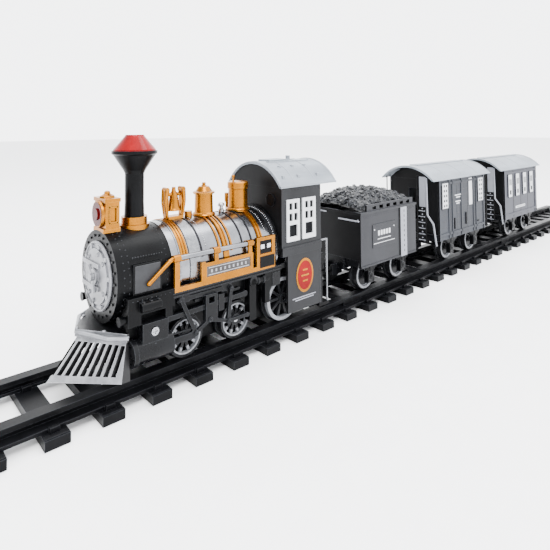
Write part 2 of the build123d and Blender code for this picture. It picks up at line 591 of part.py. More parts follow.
with BuildPart() as smokebox_door:
    rod_x(0, BOILER_Z, DOOR_RADIUS, (FRONT, FRONT + 1.8))
    rod_x(0, BOILER_Z, DOOR_RADIUS - 3.5, (FRONT + 1, FRONT + 2.8))
    rod_x(0, BOILER_Z, 4.2, (FRONT + 2, FRONT + 4.4))
    rod_x(0, BOILER_Z, 2.0, (FRONT + 4, FRONT + 6.2))
    for dz in (-6.0, 6.0):
        block((FRONT + 1.5, FRONT + 3.6), (1.0 - DOOR_RADIUS, 5.0), (BOILER_Z + dz - 1.1, BOILER_Z + dz + 1.1))
export(smokebox_door, "smokebox_door")

with BuildPart() as boiler_shell:
    tube_x(CAB_FRONT, SMOKEBOX_REAR, BOILER_RADIUS, BOILER_WALL)
    block((CAB_FRONT - 1, SMOKEBOX_REAR + 1), (-30, 30), (BOILER_Z - 30, DECK_TOP), Mode.SUBTRACT)
export(boiler_shell, "boiler_shell")

BELL_X = FRONT - 44.4
SAND_X = FRONT - 66.1
STEAM_X = FRONT - 93.3
CHIMNEY_X = FRONT - 19.1
BAND_THICKNESS = 0.6
with BuildPart() as boiler_bands:
    for x, width in ((BELL_X, 6.5), (SAND_X, 4.0), (STEAM_X, 4.0), (SMOKEBOX_REAR - 1.0, 1.2),
            (CAB_FRONT + 1.0, 1.2)):
        tube_x(x - width / 2, x + width / 2, BOILER_RADIUS + BAND_THICKNESS, BAND_THICKNESS)
    block((CAB_FRONT - 1, SMOKEBOX_REAR + 1), (-30, 30), (BOILER_Z - 30, DECK_TOP), Mode.SUBTRACT)
export(boiler_bands, "boiler_bands")


def saddle(radius):
    """Trim the foot of a fitting to the curve of the boiler."""
    rod_x(0, BOILER_Z, radius, (CAB_FRONT, FRONT + 20), Mode.SUBTRACT)


COLLAR_TOP = RAIL_TOP + 78.5
with BuildPart() as chimney_collar:
    rod_z(CHIMNEY_X, 0, 7.2, (RAIL_TOP + 68, COLLAR_TOP))
    rod_z(CHIMNEY_X, 0, 8.4, (RAIL_TOP + 68, RAIL_TOP + 74.2))
    rod_z(CHIMNEY_X, 0, 4.0, (RAIL_TOP + 60, COLLAR_TOP + 1), Mode.SUBTRACT)
    saddle(BOILER_RADIUS)
export(chimney_collar, "chimney_collar")

RIM_Z = RAIL_TOP + 115.5
with BuildPart() as chimney:
    flare = ((5.6, 0), (5.3, 8), (5.3, 24), (6.2, 26), (11.7, 34.6), (12.7, 35.4), (12.7, 37))
    turned_z(CHIMNEY_X, 0, COLLAR_TOP, flare)
    rod_z(CHIMNEY_X, 0, 4.0, (COLLAR_TOP - 1, RIM_Z - 3), Mode.SUBTRACT)
    rod_z(CHIMNEY_X, 0, 9.6, (RIM_Z - 3, RIM_Z + 1), Mode.SUBTRACT)
export(chimney, "chimney")

with BuildPart() as chimney_cap:
    turned_z(CHIMNEY_X, 0, RIM_Z, ((11.9, 0), (11.9, 0.8), (5.5, 8.4), (5.1, 9.1)))
    turned_z(CHIMNEY_X, 0, RIM_Z, ((9.8, -1), (9.8, 0.8), (3.8, 7.4)), Mode.SUBTRACT)
export(chimney_cap, "chimney_cap")

LAMP_Z = RAIL_TOP + 82.0
with BuildPart() as headlamp_housing:
    block((FRONT - 8, FRONT + 1.6), (-6.6, 6.6), (BOILER_Z + BOILER_RADIUS - 3.3, RAIL_TOP + 74.6))
    block((FRONT - 7.2, FRONT + 0.6), (-7.4, 7.4), (RAIL_TOP + 74.0, RAIL_TOP + 90.0))
    block((FRONT - 7.6, FRONT + 1.2), (-7.8, 7.8), (RAIL_TOP + 88.6, RAIL_TOP + 90.6))
    rod_x(0, LAMP_Z, 7.2, (FRONT, FRONT + 1.8))
    rod_x(0, LAMP_Z, 5.8, (FRONT - 5.6, FRONT + 4), Mode.SUBTRACT)
    for sign in (1, -1):
        block((FRONT - 6.2, FRONT - 1), side(sign, 6.8, 9), (RAIL_TOP + 77, RAIL_TOP + 86.6), Mode.SUBTRACT)
    rod_z(FRONT - 3.2, 0, 1.6, (RAIL_TOP + 90, RAIL_TOP + 93.6))
    saddle(BOILER_RADIUS)
export(headlamp_housing, "headlamp_housing")

with BuildPart() as headlamp_lens:
    rod_x(0, LAMP_Z, 5.8, (FRONT - 0.6, FRONT + 1.0))
    rod_x(0, LAMP_Z, 6.4, (FRONT + 1.8, FRONT + 2.6))
    rod_x(0, LAMP_Z, 5.8, (FRONT + 0.8, FRONT + 2.0))
    rod_x(0, LAMP_Z, 3.2, (FRONT + 2.4, FRONT + 3.4))
export(headlamp_lens, "headlamp_lens")

BAND_RADIUS = BOILER_RADIUS + BAND_THICKNESS
with BuildPart() as bell:
    block((BELL_X - 5.0, BELL_X + 5.0), (-3.0, 3.0), (RAIL_TOP + 68, RAIL_TOP + 75.5))
    for dx in (-5.2, 5.2):
        block((BELL_X + dx - 0.9, BELL_X + dx + 0.9), (-1.6, 1.6), (RAIL_TOP + 74, RAIL_TOP + 89))
    rod_x(0, RAIL_TOP + 88.2, 1.1, (BELL_X - 6.0, BELL_X + 6.0))
    turned_z(BELL_X, 0, RAIL_TOP + 79,
        ((4.1, 0), (3.9, 0.8), (2.9, 4.5), (2.3, 9), (1.2, 11.4), (1.1, 13.6)))
    rod_z(BELL_X, 0, 2.2, (RAIL_TOP + 78, RAIL_TOP + 83), Mode.SUBTRACT)
    saddle(BAND_RADIUS)
export(bell, "bell")

with BuildPart() as sand_dome:
    turned_z(SAND_X, 0, RAIL_TOP + 66,
        ((6.8, 0), (6.8, 8.6), (5.9, 9.2), (5.6, 20.4), (6.5, 20.6), (6.5, 22.0), (5.2, 22.4),
        (3.4, 25.2), (1.1, 25.8), (1.0, 27.6)))
    saddle(BAND_RADIUS)
    rod_z(SAND_X + 11.5, 0, 2.4, (BOILER_Z + BOILER_RADIUS - 1.3, RAIL_TOP + 77.0))
    saddle(BOILER_RADIUS)
export(sand_dome, "sand_dome")

with BuildPart() as steam_dome:
    turned_z(STEAM_X, 0, RAIL_TOP + 66,
        ((7.6, 0), (7.6, 8.4), (6.6, 9.0), (6.4, 22.0), (7.0, 22.6), (7.0, 25.6), (6.2, 26.2), (1.6, 26.8)))
    rod_z(STEAM_X + 3.0, -8.2, 1.1, (RAIL_TOP + 68, RAIL_TOP + 81))
    rod_z(STEAM_X + 3.0, -8.2, 1.7, (RAIL_TOP + 78, RAIL_TOP + 84))
    saddle(BAND_RADIUS)
export(steam_dome, "steam_dome")


# ================================================= handrails and nameplates
PIPE_Y = 26.4
PIPE_Z = RAIL_TOP + 57.2
CLAMPS = (FRONT - 31.0, FRONT - 57.0, FRONT - 82.0)


def cab_rail(sign):
    """A bent wire grab rail behind the cab."""
    y = sign * 24.6
    x = CAB_REAR - 9.6
    rod_x(y, RAIL_TOP + 48, 0.7, (x, CAB_REAR))
    rod_z(x, y, 0.7, (RAIL_TOP + 4.5, RAIL_TOP + 48.7))


with BuildPart() as handrails:
    for sign in (1, -1):
        rod_x(sign * PIPE_Y, PIPE_Z, 1.1, (FRONT - 85, FRONT - 29.5))
        cab_rail(sign)
export(handrails, "handrails")


def clamp(x, sign):
    """A gold bracket that holds the pipe off the boiler."""
    rod_x(sign * PIPE_Y, PIPE_Z, 1.9, (x - 1.6, x + 1.6))
    block((x - 1.2, x + 1.2), side(sign, 18, PIPE_Y), (PIPE_Z - 1.1, PIPE_Z + 1.1))
    rod_x(sign * PIPE_Y, PIPE_Z, 1.1, (x - 3, x + 3), Mode.SUBTRACT)


def name_frame(sign):
    """The gold side frame with the nameplate and the lamp box."""
    y = side(sign, 25.6, DECK_HALF)
    z = DECK_TOP
    block((FRONT - 89, FRONT - 29.5), y, (z, z + 2.4))
    block((FRONT - 32.5, FRONT - 29.5), y, (z, z + 15))
    block((FRONT - 49, FRONT - 46.5), y, (z, z + 13))
    block((FRONT - 84, FRONT - 48), side(sign, 26.0, DECK_HALF), (z + 2.0, z + 12))
    block((FRONT - 82, FRONT - 50), side(sign, 27.0, 28.5), (z + 4.0, z + 10), Mode.SUBTRACT)
    block((FRONT - 102, FRONT - 87), side(sign, 25.2, DECK_HALF), (z, z + 20.0))
    block((FRONT - 99.5, FRONT - 89.5), side(sign, 26.9, 28.5), (z + 9.5, z + 18.0), Mode.SUBTRACT)


with BuildPart() as nameplate_frames:
    for sign in (1, -1):
        name_frame(sign)
        for x in CLAMPS:
            clamp(x, sign)
    saddle(BOILER_RADIUS)
export(nameplate_frames, "nameplate_frames")


# ====================================================================== cab
WINDOW_LOW = RAIL_TOP + 53.0
WINDOW_HIGH = RAIL_TOP + 80.5
WINDOWS = ((FRONT - 123.4, FRONT - 111.8), (FRONT - 139.0, FRONT - 126.2))
COVER_LOW = DECK_TOP + 1.0
COVER_HIGH = DECK_TOP + 32.0


def cab_walls():
    inside = CAB_HALF - WALL
    block((CAB_REAR, CAB_FRONT), (-CAB_HALF, CAB_HALF), (RAIL_TOP + 44, EAVE_Z))
    block((CAB_REAR, CAB_FRONT), (-CAB_HALF - 0.8, CAB_HALF + 0.8), (RAIL_TOP + 44, RAIL_TOP + 49.5))
    block((CAB_REAR, CAB_FRONT - 5.3), (-CAB_HALF, CAB_HALF), (RAIL_TOP + 6.5, RAIL_TOP + 45))
    block((CAB_REAR - 1, CAB_FRONT + 1), (-inside, inside), (RAIL_TOP + 5, DECK_TOP), Mode.SUBTRACT)
    block((CAB_REAR + WALL, CAB_FRONT - WALL), (-inside, inside), (DECK_TOP - 1, EAVE_Z + 1), Mode.SUBTRACT)
    block((CAB_REAR - 1, CAB_REAR + WALL + 1), (-inside, inside), (DECK_TOP - 1, COVER_HIGH), Mode.SUBTRACT)


with BuildPart() as cab_shell:
    cab_walls()
    for sign in (1, -1):
        for x0, x1 in WINDOWS:
            block((x0 + 0.9, x1 - 0.9), side(sign, 24, 30), (WINDOW_LOW + 0.9, WINDOW_HIGH - 0.9),
                Mode.SUBTRACT)
    rod_x(0, BOILER_Z + 10, 9.0, (CAB_FRONT - 3, CAB_FRONT + 1), Mode.SUBTRACT)
export(cab_shell, "cab_shell")

with BuildPart() as cab_window_frames:
    for sign in (1, -1):
        for x0, x1 in WINDOWS:
            middle = (x0 + x1) / 2
            block((x0, x1), side(sign, CAB_HALF, CAB_HALF + 0.9), (WINDOW_LOW, WINDOW_HIGH))
            for low, high in ((20.6, 25.2), (13.4, 18.4)):
                for shift in (-2.3, 2.3):
                    block((middle + shift - 1.6, middle + shift + 1.6), side(sign, 27, 30),
                        (WINDOW_LOW + low, WINDOW_LOW + high), Mode.SUBTRACT)
            block((middle - 3.7, middle + 3.7), side(sign, 27, 30),
                (WINDOW_LOW + 3.0, WINDOW_LOW + 10.8), Mode.SUBTRACT)
export(cab_window_frames, "cab_window_frames")


def arch(x, half, rise, base, grow):
    """A segmental arch face at x, its ends on the base, shrunk by grow."""
    with BuildSketch(Plane.YZ.offset(x)) as face:
        with BuildLine():
            ThreePointArc((-half + grow, base), (0, base + rise - grow), (half - grow, base))
            Line((half - grow, base), (-half + grow, base))
        make_face()
    return face.sketch


def arched_roof(x0, x1, half, crown, base, bulkheads):
    """A hollow arched roof with end bulkheads at the given (low, high) X."""
    rise = crown - base
    extrude(arch(x0, half, rise, base, 0), amount=x1 - x0)
    extrude(arch(x0 - 1, half, rise, base, ROOF_SKIN), amount=x1 - x0 + 2, mode=Mode.SUBTRACT)
    for low, high in bulkheads:
        extrude(arch(low, half, rise, base, ROOF_SKIN / 2), amount=high - low)


with BuildPart() as cab_roof:
    arched_roof(ROOF_REAR, CAB_FRONT + 1.0, ROOF_HALF, ROOF_CROWN, EAVE_Z,
        ((CAB_FRONT - 1.6, CAB_FRONT + 0.2), (CAB_REAR, CAB_REAR + 1.8)))
    for sign in (1, -1):
        block((CAB_REAR, CAB_FRONT), side(sign, CAB_HALF - WALL, CAB_HALF - 0.2), (EAVE_Z, EAVE_Z + 1.5))
        block((ROOF_REAR + 8, CAB_FRONT - 6), side(sign, 6.0, 8.0), (ROOF_CROWN - 3.2, ROOF_CROWN - 0.2))
        for x in (CAB_FRONT - 10, CAB_FRONT - 22, CAB_FRONT - 34):
            rod_z(x, sign * 15.0, 1.3, (ROOF_CROWN - 6, ROOF_CROWN - 2.6))
    block((CAB_REAR + 10, CAB_FRONT - 9), (-6.0, 6.0), (ROOF_CROWN - 1.6, ROOF_CROWN + 0.9))
    rod_z(CAB_REAR + 5, 0, 1.6, (ROOF_CROWN - 1.6, ROOF_CROWN + 3.0))
export(cab_roof, "cab_roof")

CELL_RADIUS = 7.1
CELL_HALF = 25.0
CELL_PITCH = 15.0
CELL_X = CAB_FRONT - WALL - 1.6 - CELL_RADIUS
CELL_Z = DECK_TOP + CELL_RADIUS
with BuildPart() as battery_cells:
    for i in range(2):
        for j in range(2):
            x, z = CELL_X - i * CELL_PITCH, CELL_Z + j * CELL_PITCH
            rod_y(x, z, CELL_RADIUS, (-CELL_HALF, CELL_HALF - 1.2))
            rod_y(x, z, 2.6, (0, CELL_HALF))
export(battery_cells, "battery_cells")

with BuildPart() as battery_contacts:
    for sign in (1, -1):
        block((CELL_X - CELL_PITCH - 6, CELL_X + 6), side(sign, CELL_HALF, CELL_HALF + 0.5),
            (DECK_TOP, DECK_TOP + 28))
        block((CELL_X - CELL_PITCH - 6, CELL_X - CELL_PITCH - 5),
            side(sign, CELL_HALF, CAB_HALF - WALL), (DECK_TOP, DECK_TOP + 4))
        block((CELL_X + 5, CELL_X + 6), side(sign, CELL_HALF, CAB_HALF - WALL), (DECK_TOP, DECK_TOP + 4))
export(battery_contacts, "battery_contacts")

with BuildPart() as battery_cover:
    inside = CAB_HALF - WALL
    block((CAB_REAR, CAB_REAR + WALL), (-inside, inside), (DECK_TOP, COVER_HIGH))
    for y in (-18, -9, 0, 9, 18):
        block((CAB_REAR - 0.6, CAB_REAR + 0.4), (y - 2.5, y + 2.5), (COVER_LOW + 4, COVER_HIGH - 9))
    rod_x(0, COVER_HIGH - 4.5, SCREW_RADIUS, (CAB_REAR - 2, CAB_REAR + WALL + 1), Mode.SUBTRACT)
export(battery_cover, "battery_cover")

BOARD_X = (FRONT - 66, FRONT - 42)
with BuildPart() as circuit_board:
    block(BOARD_X, (-16, 16), (DECK_TOP + 1.0, DECK_TOP + 2.6))
    for x in (BOARD_X[0] + 2, BOARD_X[1] - 2):
        for y in (-14, 14):
            rod_z(x, y, 1.4, (DECK_TOP, DECK_TOP + 1.5))
    block((FRONT - 60, FRONT - 52), (-5, 5), (DECK_TOP + 2.5, DECK_TOP + 4.6))
    for y in (-10, 10):
        rod_z(FRONT - 48, y, 2.5, (DECK_TOP + 2.5, DECK_TOP + 9))
export(circuit_board, "circuit_board")

with BuildPart() as speaker:
    rod_x(0, BOILER_Z, BOILER_RADIUS - BOILER_WALL, (FRONT - 31, FRONT - 29))
    rod_x(0, BOILER_Z, 13.5, (FRONT - 30, FRONT - 22))
    rod_x(0, BOILER_Z, 8.0, (FRONT - 23, FRONT - 17))
export(speaker, "speaker")

with BuildPart() as lamp_leds:
    rod_x(0, LAMP_Z, 2.5, (FRONT - 5.6, FRONT - 2.0))
    rod_z(CHIMNEY_X, 0, 4.0, (RIM_Z - 8, RIM_Z - 5))
    rod_z(CHIMNEY_X, 0, 2.5, (RIM_Z - 6, RIM_Z + 3))
export(lamp_leds, "lamp_leds")


def screw_y(x, z, sign):
    """A cross-head screw whose head shows on the side."""
    rod_y(x, z, 2.1, side(sign, 27.3, 28.9))
    block((x - 1.4, x + 1.4), side(sign, 28.3, 30), (z - 0.4, z + 0.4), Mode.SUBTRACT)
    block((x - 0.4, x + 0.4), side(sign, 28.3, 30), (z - 1.4, z + 1.4), Mode.SUBTRACT)


with BuildPart() as chassis_screws:
    for sign in (1, -1):
        screw_y(FRONT - 17.3, RAIL_TOP + 23.2, sign)
    rod_x(0, COVER_HIGH - 4.5, 2.8, (CAB_REAR - 1.6, CAB_REAR))
    rod_x(0, COVER_HIGH - 4.5, SCREW_RADIUS, (CAB_REAR, CAB_REAR + WALL + 2))
    block((CAB_REAR - 2, CAB_REAR - 1), (-2, 2), (COVER_HIGH - 4.9, COVER_HIGH - 4.1), Mode.SUBTRACT)
    for x in (FRONT - 22, FRONT - 120):
        rod_z(x, 0, 2.6, (BEAM_BOTTOM - 1.2, BEAM_BOTTOM))
export(chassis_screws, "chassis_screws")


# ============================================================= rolling stock
def axle_box(x, sign):
    """An axle box with a leaf spring, blind-bored for the axle end."""
    y = side(sign, BOX_INNER, BOX_OUTER)
    block((x - 3.6, x + 3.6), y, (CAR_AXLE_Z - 5.0, SKIRT_BOTTOM - SIDE_GAP))
    block((x - 3.6, x + 3.6), side(sign, BOX_INNER, SOLEBAR_OUTER), (CAR_AXLE_Z, FLOOR_BOTTOM))
    for i in range(4):
        half = 10.5 - 2.3 * i
        z = SKIRT_BOTTOM - SIDE_GAP - 0.4 - 1.2 * i
        block((x - half, x + half), side(sign, BOX_INNER, BOX_OUTER - 0.3), (z - 0.9, z + 0.4))
    rod_y(x, CAR_AXLE_Z, 3.0, side(sign, BOX_OUTER - 1, BOX_OUTER + 0.7))
    rod_y(x, CAR_AXLE_Z, CAR_AXLE_RADIUS + RUNNING, side(sign, BOX_INNER - 1, AXLE_END + 0.2),
        Mode.SUBTRACT)


def underframe(cx, length, axles):
    """Sill, solebars, axle boxes, hinge ears in front, post behind."""
    x0, x1 = cx - length / 2, cx + length / 2
    block((x0, x1), (-12, 12), (RAIL_TOP + 17, FLOOR_BOTTOM))
    for x in (x0 + 1.5, cx - 1.5, x1 - 4.5):
        block((x, x + 3), (-SOLEBAR_OUTER, SOLEBAR_OUTER), (RAIL_TOP + 20.5, FLOOR_BOTTOM))
    for sign in (1, -1):
        block((x0 + 1.5, x1 - 1.5), side(sign, BOX_INNER, SOLEBAR_OUTER), (RAIL_TOP + 22.0, FLOOR_BOTTOM))
        for dx in (-axles, axles):
            axle_box(cx + dx, sign)
        block((x1 - 1, x1 + HINGE_AHEAD + 2.6), side(sign, 3.4, 5.4), (BAR_BOTTOM - 1.6, RAIL_TOP + 20))
    block((x1 - 6, x1), (-5.4, 5.4), (BAR_BOTTOM - 1.6, RAIL_TOP + 18))
    rod_y(x1 + HINGE_AHEAD, BAR_BOTTOM + 1, HINGE_RADIUS, (-4, 4))
    post_x = x0 - POST_BEHIND
    block((post_x - 4.0, x0 + 6), (-6, 6), (TAIL_TOP - TAIL_THICKNESS, TAIL_TOP))
    block((x0 + 1, x0 + 6), (-6, 6), (TAIL_TOP - 1, RAIL_TOP + 18))
    rod_z(post_x, 0, POST_RADIUS, (TAIL_TOP - 1, POST_TOP))


def drawbar(hinge_x, post_x):
    """A bar with an eye on the hinge pin and a ring over the post ahead."""
    z = (BAR_BOTTOM, BAR_BOTTOM + BAR_THICKNESS)
    rod_y(hinge_x, BAR_BOTTOM + 1, EYE_RADIUS, (-3.0, 3.0))
    block((hinge_x, post_x), (-BAR_WIDTH / 2, BAR_WIDTH / 2), z)
    rod_z(post_x, 0, RING_RADIUS, z)
    rod_z(post_x, 0, RING_HOLE, (z[0] - 1, z[1] + 1), Mode.SUBTRACT)
    rod_y(hinge_x, BAR_BOTTOM + 1, HINGE_RADIUS + RUNNING, (-5, 5), Mode.SUBTRACT)


LOCO_POST = CAB_REAR - 18.0
TENDER_POST = TENDER_X - TENDER_LENGTH / 2 - POST_BEHIND
BOX_CAR_POST = BOX_CAR_X - CAR_FRAME_LENGTH / 2 - POST_BEHIND
TENDER_HINGE = TENDER_X + TENDER_LENGTH / 2 + HINGE_AHEAD
BOX_CAR_HINGE = BOX_CAR_X + CAR_FRAME_LENGTH / 2 + HINGE_AHEAD
COACH_HINGE = COACH_X + CAR_FRAME_LENGTH / 2 + HINGE_AHEAD

with BuildPart() as tender_underframe:
    underframe(TENDER_X, TENDER_LENGTH, TENDER_AXLES)
export(tender_underframe, "tender_underframe")

with BuildPart() as tender_drawbar:
    drawbar(TENDER_HINGE, LOCO_POST)
export(tender_drawbar, "tender_drawbar")

with BuildPart() as tender_front_wheelset:
    car_wheelset(TENDER_X + TENDER_AXLES)
export(tender_front_wheelset, "tender_front_wheelset")

with BuildPart() as tender_rear_wheelset:
    car_wheelset(TENDER_X - TENDER_AXLES)
export(tender_rear_wheelset, "tender_rear_wheelset")

TENDER_X0 = TENDER_X - TENDER_LENGTH / 2
TENDER_X1 = TENDER_X + TENDER_LENGTH / 2
BUNKER_FLOOR = TENDER_TOP - 8.0
with BuildPart() as tender_body:
    block((TENDER_X0, TENDER_X1), (-TENDER_HALF, TENDER_HALF), (SKIRT_BOTTOM, TENDER_TOP - 1.5))
    block((TENDER_X0 - 0.8, TENDER_X1 + 0.8), (-TENDER_HALF - 0.8, TENDER_HALF + 0.8),
        (TENDER_TOP - 1.6, TENDER_TOP))
    half = TENDER_HALF - WALL
    block((TENDER_X0 + WALL, TENDER_X1 - WALL), (-half, half),
        (FLOOR_BOTTOM + FLOOR_THICKNESS, BUNKER_FLOOR - 1.5), Mode.SUBTRACT)
    block((TENDER_X0 + WALL, TENDER_X1 - WALL), (-half, half), (BUNKER_FLOOR, TENDER_TOP + 1),
        Mode.SUBTRACT)
    block((TENDER_X0 - 1, TENDER_X1 + 1), (-half, half), (SKIRT_BOTTOM - 1, FLOOR_BOTTOM), Mode.SUBTRACT)
    for sign in (1, -1):
        block((TENDER_X0 + 4, TENDER_X1 - 8), side(sign, TENDER_HALF - 1.8, TENDER_HALF - 0.2),
            (TENDER_TOP - 1, TENDER_TOP + 5.0))
        for i in range(6):
            x = TENDER_X0 + 9 + 9.5 * i
            block((x, x + 5), side(sign, TENDER_HALF - 3, TENDER_HALF + 1),
                (TENDER_TOP + 0.8, TENDER_TOP + 3.6), Mode.SUBTRACT)
        block((TENDER_X0 + 15, TENDER_X0 + 24), side(sign, TENDER_HALF, TENDER_HALF + 0.7),
            (SKIRT_BOTTOM, TENDER_TOP - 1.5))
    for sign in (1, -1):
        block((TENDER_X0 + 30, TENDER_X0 + 62), side(sign, TENDER_HALF - 1, TENDER_HALF + 0.5),
            (TENDER_TOP - 29, TENDER_TOP - 11))
export(tender_body, "tender_body")


HEAP_BASE = 6.0
HEAP_STEPS = ((0.0, 0.0, 10.0), (8.0, 1.0, 14.5), (18.0, 3.0, 17.0))
with BuildPart() as coal_load:
    x_low, x_high = TENDER_X0 + WALL + 0.3, TENDER_X1 - WALL - 0.3
    y_high = TENDER_HALF - WALL - 0.3
    block((x_low, x_high), (-y_high, y_high), (BUNKER_FLOOR, BUNKER_FLOOR + HEAP_BASE))
    for inset, narrow, rise in HEAP_STEPS:
        face = arch(x_low + inset, y_high - narrow, rise, BUNKER_FLOOR + HEAP_BASE, 0)
        extrude(face, amount=x_high - x_low - 2 * inset)
export(coal_load, "coal_load")


def car_body(cx, windows):
    """A hollow car body with ribs and framed window openings."""
    x0, x1 = cx - CAR_LENGTH / 2, cx + CAR_LENGTH / 2
    inside = CAR_HALF - WALL
    block((x0, x1), (-CAR_HALF, CAR_HALF), (SKIRT_BOTTOM, CAR_EAVE))
    for sign in (1, -1):
        for z in (SKIRT_BOTTOM + 4, CAR_EAVE - 5):
            block((x0 - 0.5, x1 + 0.5), side(sign, CAR_HALF - 1, CAR_HALF + 0.7), (z, z + 2.0))
        for x in (x0 - 0.5, x1 - 2.0):
            block((x, x + 2.5), side(sign, CAR_HALF - 1, CAR_HALF + 0.7), (SKIRT_BOTTOM, CAR_EAVE))
        for x, width, low, high in windows:
            block((cx + x - width / 2 - 1.3, cx + x + width / 2 + 1.3),
                side(sign, CAR_HALF - 1, CAR_HALF + 1.0), (low - 1.3, high + 1.3))
    block((x0 + WALL, x1 - WALL), (-inside, inside), (FLOOR_BOTTOM + FLOOR_THICKNESS, CAR_EAVE + 1),
        Mode.SUBTRACT)
    under = CAR_HALF - SKIRT_THICKNESS
    block((x0 - 1, x1 + 1), (-under, under), (SKIRT_BOTTOM - 1, FLOOR_BOTTOM), Mode.SUBTRACT)
    for x, width, low, high in windows:
        block((cx + x - width / 2, cx + x + width / 2), (-CAR_HALF - 2, CAR_HALF + 2), (low, high),
            Mode.SUBTRACT)
    block((x0 - 1, x1 + 1), (-6, 6), (FLOOR_BOTTOM + 12, FLOOR_BOTTOM + 42), Mode.SUBTRACT)


def car_roof(cx):
    """The arched roof of a car with bulkheads over the end walls."""
    ends = CAR_LENGTH / 2
    arched_roof(cx - CAR_ROOF_LENGTH / 2, cx + CAR_ROOF_LENGTH / 2, CAR_ROOF_HALF, CAR_CROWN, CAR_EAVE,
        ((cx - ends, cx - ends + 1.8), (cx + ends - 1.8, cx + ends)))
    for sign in (1, -1):
        block((cx - ends + 2, cx + ends - 2), side(sign, CAR_HALF - WALL, CAR_HALF),
            (CAR_EAVE, CAR_EAVE + 1.2))
    block((cx - ends, cx + ends), (-4.5, 4.5), (CAR_CROWN - 2.4, CAR_CROWN + 0.6))


BOX_CAR_WINDOWS = [(-37.0, 9.0, RAIL_TOP + 52, RAIL_TOP + 70), (37.0, 9.0, RAIL_TOP + 52, RAIL_TOP + 70)]
COACH_WINDOWS = [(x, 9.0, RAIL_TOP + 48, RAIL_TOP + 68) for x in (-32.0, -10.7, 10.7, 32.0)]

with BuildPart() as boxcar_underframe:
    underframe(BOX_CAR_X, CAR_FRAME_LENGTH, CAR_AXLES)
export(boxcar_underframe, "boxcar_underframe")

with BuildPart() as boxcar_drawbar:
    drawbar(BOX_CAR_HINGE, TENDER_POST)
export(boxcar_drawbar, "boxcar_drawbar")

with BuildPart() as boxcar_front_wheelset:
    car_wheelset(BOX_CAR_X + CAR_AXLES)
export(boxcar_front_wheelset, "boxcar_front_wheelset")

with BuildPart() as boxcar_rear_wheelset:
    car_wheelset(BOX_CAR_X - CAR_AXLES)
export(boxcar_rear_wheelset, "boxcar_rear_wheelset")

with BuildPart() as boxcar_body:
    car_body(BOX_CAR_X, BOX_CAR_WINDOWS)
export(boxcar_body, "boxcar_body")

with BuildPart() as boxcar_roof:
    car_roof(BOX_CAR_X)
export(boxcar_roof, "boxcar_roof")

with BuildPart() as coach_underframe:
    underframe(COACH_X, CAR_FRAME_LENGTH, CAR_AXLES)
export(coach_underframe, "coach_underframe")

with BuildPart() as coach_drawbar:
    drawbar(COACH_HINGE, BOX_CAR_POST)
export(coach_drawbar, "coach_drawbar")

with BuildPart() as coach_front_wheelset:
    car_wheelset(COACH_X + CAR_AXLES)
export(coach_front_wheelset, "coach_front_wheelset")

with BuildPart() as coach_rear_wheelset:
    car_wheelset(COACH_X - CAR_AXLES)
export(coach_rear_wheelset, "coach_rear_wheelset")

with BuildPart() as coach_body:
    car_body(COACH_X, COACH_WINDOWS)
export(coach_body, "coach_body")

with BuildPart() as coach_roof:
    car_roof(COACH_X)
export(coach_roof, "coach_roof")
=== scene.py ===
"""Looks of a toy train on straight track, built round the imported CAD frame."""
import random
from math import cos, pi, radians, sin

import bmesh
import bpy
from mathutils import Matrix, Vector


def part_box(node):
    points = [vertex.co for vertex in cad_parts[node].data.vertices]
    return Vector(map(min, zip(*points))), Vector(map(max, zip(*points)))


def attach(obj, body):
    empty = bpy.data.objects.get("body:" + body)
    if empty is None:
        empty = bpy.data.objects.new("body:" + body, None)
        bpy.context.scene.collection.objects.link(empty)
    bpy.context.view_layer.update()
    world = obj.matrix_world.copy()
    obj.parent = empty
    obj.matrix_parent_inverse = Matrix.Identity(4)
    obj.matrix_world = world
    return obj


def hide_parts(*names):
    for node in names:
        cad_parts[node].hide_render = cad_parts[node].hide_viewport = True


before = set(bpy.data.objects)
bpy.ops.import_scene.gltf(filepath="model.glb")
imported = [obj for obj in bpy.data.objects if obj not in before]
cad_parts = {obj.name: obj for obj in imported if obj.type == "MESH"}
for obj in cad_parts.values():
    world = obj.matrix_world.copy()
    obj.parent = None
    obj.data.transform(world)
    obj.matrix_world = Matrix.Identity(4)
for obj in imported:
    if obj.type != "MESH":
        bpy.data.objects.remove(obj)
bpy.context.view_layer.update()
MM = 0.001
SEED = 7

# ------------------------------------------------------------- key positions
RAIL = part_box("track_middle")[1][2]
SMOKE_LO, SMOKE_HI = (Vector(v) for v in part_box("smokebox_shell"))
SMOKEBOX_LENGTH = 34 * MM
FRONT = Vector(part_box("boiler_shell")[1]).x + SMOKEBOX_LENGTH
AXIS_Z = (SMOKE_LO.z + SMOKE_HI.z) / 2
BOILER_R = (SMOKE_HI.z - SMOKE_LO.z) / 2
WHEEL_FACE = 18.0 * MM
BELL, SAND, STEAM = 44.4, 66.1, 93.3
PIPE_OUT, PIPE_UP = 26.4, 57.2
CAB_ROOF = (RAIL + 104.6 * MM, RAIL + 88.5 * MM, 28.6 * MM)
CAR_ROOF = (RAIL + 90.5 * MM, RAIL + 77.5 * MM, 28.4 * MM)


def at(behind, y, above):
    """A point in mm behind the smokebox front, to the left, above the rail."""
    return Vector((FRONT - behind * MM, y * MM, RAIL + above * MM))


